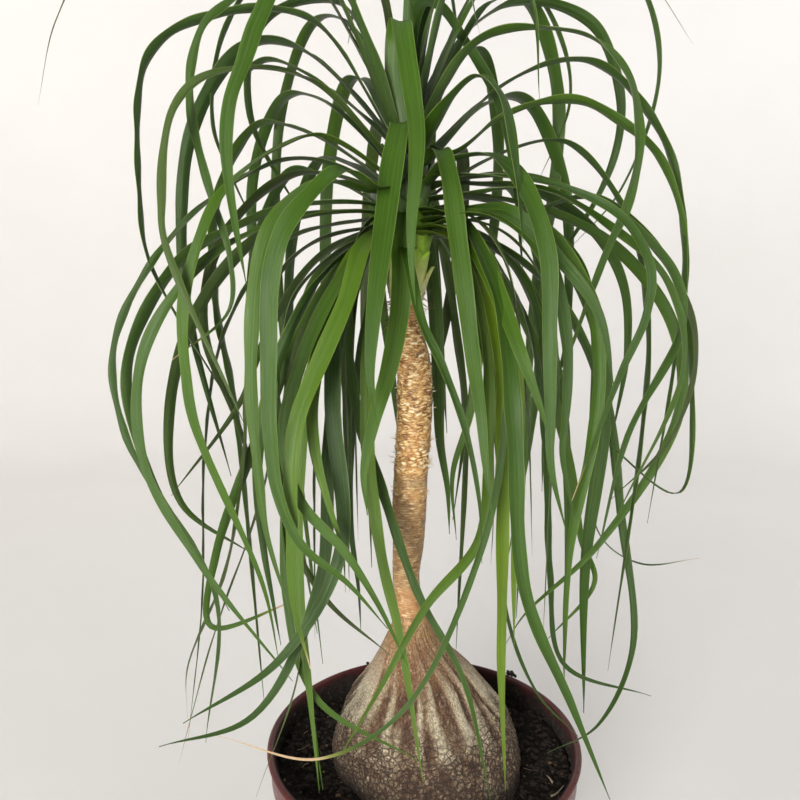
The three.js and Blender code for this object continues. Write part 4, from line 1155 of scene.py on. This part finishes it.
def caudex_relief(angle, height, radius):
    """How far the cork stands out, its shade and how much darker it is near the bottom."""
    across, up = math.cos(angle), math.sin(angle)
    x, y = across * radius, up * radius
    neck = smooth_step(height, *NECK_HEIGHTS)
    folded = smooth_step(height, *FOLD_HEIGHTS) * (1 - 0.7 * neck)
    wander = 0.5 * noise.noise((across * 2, up * 2, height / 50))
    broad = noise.noise((across * 4.6 + wander, up * 4.6, height / 90 + 2.0))
    narrow = noise.noise((across * 11, up * 11 + wander, height / 34))
    ridge = clamp(0.5 + 1.9 * broad + 0.9 * narrow, 0, 1)
    cloud = noise.fractal((x / 15, y / 15, height / 20), 0.9, 2.1, 4)
    lumps = noise.noise((x / 17, y / 17, height / 14))
    stretch = 4.2 + 9 * folded + 4 * neck
    crack = plate((x / 4.6 + 0.5 * lumps, y / 4.6, height / stretch), 0.35)
    grain = plate((x / 2.2, y / 2.2, height / (0.5 * stretch)), 0.5)
    cracked = 1 - 0.75 * (folded * smooth_step(ridge, 0.55, 0.85))
    stand = 2.8 * folded * (ridge - 0.5) + (0.95 * crack + 0.45 * grain) * cracked * (1 - 0.5 * neck)
    stand += (1 - folded) * 1.8 * lumps * (1 - neck) + 0.5 * cloud
    rough_shade = 0.14 + 0.36 * crack + 0.24 * grain + 0.4 * cloud
    fold_shade = 0.10 + 0.72 * ridge + 0.18 * crack + 0.1 * grain
    shade = clamp(rough_shade + (fold_shade - rough_shade) * folded, 0, 1)
    shade = clamp(shade + neck * (0.55 - shade) * 0.6, 0, 1)
    # Darker towards the bottom of the caudex, near the soil.
    low_dark = clamp((DARK_FOOT_TOP - height) / DARK_FOOT_FADE + 0.7 * cloud, 0, 0.92)
    return stand, shade, low_dark


def build_caudex(material):
    """The swollen base, with its rings spread evenly along its outline."""
    heights = np.linspace(CAUDEX_FOOT, NECK_TOP, OUTLINE_SAMPLES)
    radii = [wood_at(h)[0] for h in heights]
    run = np.concatenate([[0], np.cumsum(np.hypot(np.diff(heights), np.diff(radii)))])
    points, values = [], []
    for height in np.interp(np.linspace(0, run[-1], CAUDEX_RINGS), run, heights):
        radius, x, y = wood_at(height)
        swell = clamp((CAUDEX_TOP - height) / LUMP_FADE, 0, 1)
        fade = clamp((NECK_TOP - height) / SEAM_FADE, 0, 1)
        for angle in turn_angles(CAUDEX_SIDES):
            lump = math.sin(3 * angle + height / 40) * 0.5 + math.sin(5 * angle - height / 23 + 1) * 0.5
            stand, shade, low_dark = caudex_relief(angle, height, radius)
            out = radius * (1 + LUMP_DEPTH * swell * lump) + (stand - CAUDEX_SINK) * fade
            points.append(around(angle, out, height, x, y))
            values.append((shade, low_dark, 0, 1))
    make_wood("caudex", points, values, CAUDEX_RINGS, CAUDEX_SIDES, material)


# Loose fibres: thin three-sided threads that bend and taper


THREAD_STEPS = 6
THREAD_SIDES = 3


def add_thread(gather, start, direction, length, thickness, curl, draw):
    ahead = unit(np.array(direction, dtype=float))
    bend = unit(np.array([draw() - 0.5, draw() - 0.5, draw() - 0.5]))
    place = np.array(start, dtype=float)
    rings = []
    for step in range(THREAD_STEPS + 1):
        side = unit(np.cross(ahead, bend + 0.01))
        up = np.cross(side, ahead)
        size = thickness * (1 - 0.8 * (step / THREAD_STEPS)) / 2
        for angle in turn_angles(THREAD_SIDES):
            rings.append(place + size * (math.cos(angle) * side + math.sin(angle) * up))
        place = place + ahead * length / THREAD_STEPS
        ahead = unit(ahead + bend * curl / THREAD_STEPS)
    gather.add(rings, ring_faces(THREAD_STEPS + 1, THREAD_SIDES))


# Bands of frayed tufts on the trunk: height, spread, how many and how long.
TUFT_BANDS = [(512, 34, 46, 6.5), (475, 8, 12, 4), (580, 90, 30, 3.5)]
TUFT_THICKNESS = 0.75

# Brown shreds at the top of the trunk: how many, and ranges of their heights, of their distance from its
# middle, of their lengths and of their thicknesses
SHREDS = 120
SHRED_HEIGHTS = (626, 652)
SHRED_RADII = (13.5, 15.5)
SHRED_LENGTHS = (5, 15)
SHRED_THICKNESSES = (0.6, 1.3)


def add_tuft(gather, height, angle, length, thickness, draw):
    """A frayed bunch of threads that springs from the bark."""
    radius, x, y = wood_at(height)
    start = around(angle, radius, height, x, y)
    lean = 1.3 * (draw() - 0.4)
    for _ in range(3 + int(3 * draw())):
        spread = (draw() - 0.5, draw() - 0.5, 0.7 * (draw() - 0.5))
        direction = (math.cos(angle) + spread[0], math.sin(angle) + spread[1], lean + spread[2])
        reach = length * (0.5 + 0.7 * draw())
        across = thickness * (0.6 + 0.6 * draw())
        add_thread(gather, start, direction, reach, across, 3 * (draw() - 0.5), draw)


def build_fibres(pale, brown):
    """Frayed tufts of old leaf bases on the trunk, and brown shreds under the crown."""
    draw = draw_from(seed=29)
    tufts = Gather()
    for height, spread, count, length in TUFT_BANDS:
        for _ in range(count):
            place = height + spread * (draw() - 0.5)
            angle = 2 * math.pi * draw()
            add_tuft(tufts, place, angle, length * (0.4 + 0.8 * draw()), TUFT_THICKNESS, draw)
    tufts.make("trunk_fibres", pale, "bark")
    shreds = Gather()
    for _ in range(SHREDS):
        height = between(SHRED_HEIGHTS, draw())
        angle = 2 * math.pi * draw()
        start = around(angle, between(SHRED_RADII, draw()), height, CROWN_AXIS_X)
        direction = (math.cos(angle) * 0.7, math.sin(angle) * 0.7, 0.9 - 1.8 * draw())
        length = between(SHRED_LENGTHS, draw())
        thickness = between(SHRED_THICKNESSES, draw())
        add_thread(shreds, start, direction, length, thickness, 3 * (draw() - 0.5), draw)
    shreds.make("crown_shreds", brown, "bark")


# Pot and soil


POT_SIDES = 160
LIP_ROUND = 2.7


def straight(start, end, steps):
    """Points of a straight run from start, which is left out, to end."""
    return [tuple(between(pair, k / steps) for pair in zip(start, end)) for k in range(1, steps + 1)]


def pot_profile():
    """Outside from the middle of the base up, over the lip, and down the inside. Radius and height."""
    collar_foot = POT_HEIGHT - COLLAR_HEIGHT
    collar = COLLAR_RADIUS
    body_top = collar - COLLAR_STEP
    lip_foot = POT_HEIGHT - LIP_HEIGHT
    inner = collar - POT_WALL - 1.3
    inner_top = (body_top - POT_WALL, collar_foot - 4)
    foot = [(0.5, 0), (40, 0), (FOOT_RADIUS - 4, 0), (FOOT_RADIUS - 2.4, 0.3), (FOOT_RADIUS - 0.8, 1.5)]
    collar_step = [
        (body_top + 0.8, collar_foot - 1.6),
        (collar - 1.6, collar_foot - 0.4),
        (collar - 0.9, collar_foot + 0.6),
        (collar - 0.7, collar_foot + 2),
        (collar, lip_foot - 1.2),
        (collar + 0.4, lip_foot - 0.3),
    ]
    lip = []
    for degrees in range(-60, 135, 15):
        angle = math.radians(degrees)
        lip.append(around(angle, LIP_ROUND, 0, RIM_RADIUS - LIP_ROUND, POT_HEIGHT - LIP_ROUND)[:2])
    inner_step = [
        (inner + 0.6, POT_HEIGHT - 3),
        (inner, POT_HEIGHT - 5),
        (inner - 0.2, collar_foot + 2),
        (inner - 0.8, collar_foot),
        inner_top,
    ]
    outside = [(FOOT_RADIUS, 3), *straight((FOOT_RADIUS, 3), (body_top, collar_foot - 3), 8)]
    inside = straight(inner_top, (FOOT_RADIUS - POT_WALL, POT_FLOOR), 6)
    floor = [(40, POT_FLOOR), (0.5, POT_FLOOR)]
    return [*foot, *outside, *collar_step, *lip, *inner_step, *inside, *floor]


def lathe(outline, sides):
    """An outline of radius and height turned round the upright axis."""
    points = [around(angle, radius, height) for radius, height in outline for angle in turn_angles(sides)]
    return points, ring_faces(len(outline), sides)


def build_pot(material):
    gather = Gather()
    gather.add(*lathe(pot_profile(), POT_SIDES))
    pot = gather.make("pot_shell", material, "pot_plastic", replaced=("pot",), sharp=50)
    drains = Gather()
    for angle in turn_angles(DRAIN_COUNT):
        points, faces = lathe([(DRAIN_RADIUS, -10), (DRAIN_RADIUS, 15)], 24)
        drains.add(np.array(points) + np.array(around(angle, DRAIN_CIRCLE, 0)), faces)
    cutter = drains.make("drain_cutter", material, "pot_plastic")
    cut = pot.modifiers.new("drains", "BOOLEAN")
    cut.operation = "DIFFERENCE"
    cut.solver = "EXACT"
    cut.object = cutter
    with bpy.context.temp_override(object=pot, active_object=pot):
        bpy.ops.object.modifier_apply(modifier=cut.name)
    bpy.data.objects.remove(cutter, do_unlink=True)


# The soil's mesh: points round it, rings across its top, its gap to the pot, how far its bowl reaches under
# the caudex, heights of the rings of the bowl, and radii between which it is heaped against the wall
SOIL_SIDES = 220
SOIL_RINGS = 44
SOIL_GAP = 0.6
BOWL_TUCK = 9
BOWL_HEIGHTS = (196, 184, 170, 158, 148.5)
HEAP_RADII = (112, 141)


def soil_height(x, y):
    """The lie of the soil: broad dips, clods and grit, heaped unevenly against the wall of the pot."""
    broad = 3.0 * noise.noise((x / 42, y / 42, 0.3))
    clods = 2.8 * noise.fractal((x / 11, y / 11, 4.2), 0.8, 2.2, 5)
    heap = smooth_step(math.hypot(x, y), *HEAP_RADII) * (6 + 9 * noise.noise((x / 38, y / 38, 7.7)))
    return SOIL_TOP + broad + clods + max(0, heap)


def build_soil(material):
    """The soil's rough top, a bowl round the caudex, and its plain hidden sides."""
    angles = turn_angles(SOIL_SIDES)
    hidden = [
        (1, POT_FLOOR + 0.4),
        (FOOT_RADIUS - POT_WALL - SOIL_GAP, POT_FLOOR + 0.4),
        (COLLAR_RADIUS - COLLAR_STEP - POT_WALL - SOIL_GAP, POT_HEIGHT - COLLAR_HEIGHT - 4),
    ]
    points = [around(angle, radius, height) for radius, height in hidden for angle in angles]
    wall = COLLAR_RADIUS - POT_WALL - 2 - SOIL_GAP
    hole, hole_x, hole_y = wood_at(SOIL_TOP)
    for r in range(SOIL_RINGS + 1):
        t = r / SOIL_RINGS
        for angle in angles:
            outer = around(angle, wall, 0)
            inner = around(angle, hole - BOWL_TUCK, 0, hole_x, hole_y)
            x, y = (far * (1 - t) + near * t for far, near in zip(outer[:2], inner[:2]))
            points.append((x, y, soil_height(x, y) - 1.5 * (t == 0)))
    for height in BOWL_HEIGHTS:
        radius, x, y = wood_at(height)
        points += [around(angle, max(radius - BOWL_TUCK - 1, 1), height - 1, x, y) for angle in angles]
    gather = Gather()
    gather.add(points, ring_faces(len(points) // SOIL_SIDES, SOIL_SIDES))
    gather.make("soil_fill", material, "potting_mix", replaced=("soil",))


CLUMP_RINGS = 3
CLUMP_SIDES = 5


def clump(radius, draw):
    """An irregular crumb: rings of corners between an upper and a lower one."""
    points = [(0, 0, radius), (0, 0, -radius)]
    for ring in range(CLUMP_RINGS):
        lift = math.radians(45 * ring - 45)
        for k in range(CLUMP_SIDES):
            angle = 2 * math.pi * (k + 0.5 * ring) / CLUMP_SIDES
            size = radius * (0.65 + 0.6 * draw())
            points.append(around(angle, size * math.cos(lift), size * math.sin(lift)))
    faces = []
    top = len(points) - CLUMP_SIDES
    for k in range(CLUMP_SIDES):
        after = (k + 1) % CLUMP_SIDES
        faces.append((1, 2 + after, 2 + k))
        faces.append((0, top + k, top + after))
        for low in range(2, top, CLUMP_SIDES):
            a, b = low + k, low + after
            faces += [(a, b, b + CLUMP_SIDES), (a, b + CLUMP_SIDES, a + CLUMP_SIDES)]
    return np.array(points), faces


# The open soil: its outer radius, and the middle and the radius of what the caudex covers
SOIL_EDGE = 137
COVERED_X = 6
COVERED_RADIUS = 89


def soil_spot(draw):
    """A place on the open soil between the caudex and the wall of the pot."""
    while True:
        x, y = ((draw() * 2 - 1) * (SOIL_EDGE + 2) for _ in range(2))
        if math.hypot(x, y) < SOIL_EDGE and math.hypot(x - COVERED_X, y) > COVERED_RADIUS:
            return x, y


# Crumbs and bits of bark on the soil: how many and between which sizes. Clods that stick to the wall of
# the pot and to its lip. Dry rootlets with their lengths, and curled bits of leaf: place, heading, length
# and curl.
CRUMBS = (2600, (0.7, 2.9))
BARK_BITS = (90, (0.8, 2.4))
WALL_CLODS = 420
CLOD_SIZES = (0.8, 3.0)
WALL_REACH = 142
WALL_HEIGHTS = (SOIL_TOP + 6, SOIL_TOP + 22)
RIM_CLODS = [(103, 108, 3.6), (99, 111, 3.0), (106, 106, 2.2), (20, 147, 2.4), (-60, 134, 2.2)]
ROOTLETS = 30
ROOTLET_LENGTHS = (5, 18)
ROOTLET_THICKNESSES = (0.35, 0.85)
FALLEN_BITS = [
    (-88, -92, 60, 9, 2.0),
    (-70, -104, 20, 8, 3.0),
    (112, -62, 15, 16, 3.5),
    (118, -40, 100, 9, 2.5),
]
FALLEN_WIDTH = 2.6


def strew(gather, count, sizes, draw):
    """Crumbs on the open soil, stretched and flattened, and most of them small."""
    for _ in range(count):
        x, y = soil_spot(draw)
        size = between(sizes, draw() ** 2.4)
        points, faces = clump(size, draw)
        stretch = np.array([0.7 + 0.9 * draw(), 0.7 + 0.5 * draw(), 0.5 + 0.4 * draw()])
        gather.add(points * stretch + np.array([x, y, soil_height(x, y) + 0.3 * size]), faces)


def build_crumbs(dark, light):
    """Clods on the soil and on the wall above it, and lighter bits of bark among them."""
    draw = draw_from(seed=41)
    crumbs = Gather()
    strew(crumbs, *CRUMBS, draw)
    for _ in range(WALL_CLODS):
        angle, lift = 2 * math.pi * draw(), draw() ** 1.6
        points, faces = clump(between(CLOD_SIZES, draw() ** 2), draw)
        crumbs.add(points + np.array(around(angle, WALL_REACH, between(WALL_HEIGHTS, lift))), faces)
    for x, y, size in RIM_CLODS:
        points, faces = clump(size, draw)
        crumbs.add(points + np.array([x, y, POT_HEIGHT + 0.7 * size]), faces)
    crumbs.make("soil_crumbs", dark, "potting_mix", sharp=30)
    bits = Gather()
    strew(bits, *BARK_BITS, draw)
    bits.make("soil_bark_bits", light, "potting_mix", sharp=30)


def build_rootlets(material):
    """Dry rootlets and curled bits of fallen leaf that lie on the soil."""
    gather = Gather()
    draw = draw_from(seed=53)
    for _ in range(ROOTLETS):
        x, y = soil_spot(draw)
        angle = 2 * math.pi * draw()
        start = (x, y, soil_height(x, y) + 1.0)
        direction = (math.cos(angle), math.sin(angle), 0.3 * (draw() - 0.3))
        length = between(ROOTLET_LENGTHS, draw())
        end_x, end_y, _ = around(angle, length, 0, x, y)
        is_covered = math.hypot(end_x - COVERED_X, end_y) < COVERED_RADIUS - 1
        if math.hypot(end_x, end_y) > SOIL_EDGE + 1 or is_covered:
            continue
        thickness = between(ROOTLET_THICKNESSES, draw())
        add_thread(gather, start, direction, length, thickness, 3.5 * (draw() - 0.5), draw)
    for x, y, heading, length, curl in FALLEN_BITS:
        angle = math.radians(heading)
        start = (x, y, soil_height(x, y) + 2.5)
        direction = (math.cos(angle), math.sin(angle), 0.1)
        add_thread(gather, start, direction, length, FALLEN_WIDTH, curl, draw)
    gather.make("soil_rootlets", material, "potting_mix")


# Camera, lights and floor


def build_camera():
    data = bpy.data.cameras.new("camera")
    data.sensor_width = SENSOR_WIDTH
    data.lens = FOCAL_PIXELS / PHOTO_SIDE * SENSOR_WIDTH
    data.clip_start = 0.01
    camera = bpy.data.objects.new("camera", data)
    camera.location = Vector(CAMERA_PLACE) * MM
    pitch = math.atan((PHOTO_SIDE / 2 - HORIZON_ROW) / FOCAL_PIXELS)
    camera.rotation_euler = (math.pi / 2 - pitch, 0, 0)
    bpy.context.scene.collection.objects.link(camera)
    bpy.context.scene.camera = camera


def add_light(name, place, target, size, watts, colour):
    data = bpy.data.lights.new(name, "AREA")
    data.shape = "RECTANGLE"
    data.size, data.size_y = size
    data.energy = watts
    data.color = colour
    light = bpy.data.objects.new(name, data)
    light.location = place
    light.rotation_euler = (Vector(target) - Vector(place)).to_track_quat("-Z", "Y").to_euler()
    bpy.context.scene.collection.objects.link(light)


def build_lights():
    middle = (0, 0, 0.5)
    add_light("window", (-0.95, -2.4, 0.98), middle, (1.1, 1.3), 94, (1.0, 0.985, 0.955))
    add_light("fill", (2.0, -1.4, 0.8), middle, (1.6, 1.6), 13, (0.93, 0.96, 1.0))
    add_light("top", (0.2, -0.2, 2.8), middle, (1.2, 1.2), 5, (0.94, 0.97, 1.0))
    add_light("wash_left", (-1.3, 1.0, 2.7), (-1.4, 3.1, 0.9), (1.6, 0.5), 27, (1.0, 0.96, 0.91))
    add_light("wash_right", (1.3, 1.0, 2.7), (1.4, 3.1, 0.9), (1.6, 0.5), 25, (0.98, 0.97, 1.0))
    world = bpy.data.worlds.new("studio")
    world.use_nodes = True
    background = world.node_tree.nodes["Background"]
    background.inputs["Color"].default_value = (0.88, 0.93, 1.0, 1)
    background.inputs["Strength"].default_value = 0.12
    bpy.context.scene.world = world
    bpy.context.scene.view_settings.view_transform = "Standard"
    bpy.context.scene.view_settings.look = "None"


# The studio in metres: where its floor starts to bend up, the radius of the bend, and its height
FLOOR_REACH = 2.4
FLOOR_BEND = 0.9
ROOM_HEIGHT = 3.4


def build_room():
    """A pale floor that curves up into a wall all round."""
    material, tree, shader, _ = new_material("studio_floor")
    grain = noise_at(tree, place_vector(tree), 3, 2.0)
    colour = mix(tree, grain, (0.74, 0.725, 0.705), (0.78, 0.765, 0.745))
    dress(tree, shader, colour, 0.85)
    outline = [(0.01, 0), (1.6, 0), (FLOOR_REACH, 0)]
    for degrees in range(-81, 9, 9):
        outline.append(around(math.radians(degrees), FLOOR_BEND, 0, FLOOR_REACH, FLOOR_BEND)[:2])
    outline.append((FLOOR_REACH + FLOOR_BEND, ROOM_HEIGHT))
    points, faces = lathe(outline, 96)
    mesh = bpy.data.meshes.new("studio_floor")
    mesh.from_pydata(points, [], [tuple(reversed(f)) for f in faces[:-1]])
    mesh.polygons.foreach_set("use_smooth", [True] * len(mesh.polygons))
    floor = bpy.data.objects.new("studio_floor", mesh)
    floor.data.materials.append(material)
    bpy.context.scene.collection.objects.link(floor)


build_camera()
build_lights()
build_room()
build_leaves(leaf_material())
build_crown(sheath_material())
build_trunk(trunk_material())
build_caudex(caudex_material())
build_fibres(
    crumb_material("pale_fibre", (0.62, 0.46, 0.24), (0.95, 0.90, 0.70), 0.7),
    crumb_material("brown_shred", (0.12, 0.045, 0.020), (0.42, 0.22, 0.10), 0.8),
)
build_pot(pot_material())
build_soil(soil_material())
build_crumbs(
    crumb_material("soil_crumb", (0.006, 0.004, 0.003), (0.034, 0.021, 0.013), 0.95),
    crumb_material("bark_bit", (0.06, 0.03, 0.015), (0.24, 0.14, 0.07), 0.8),
)
build_rootlets(crumb_material("dry_bit", (0.20, 0.13, 0.07), (0.62, 0.50, 0.33), 0.8))
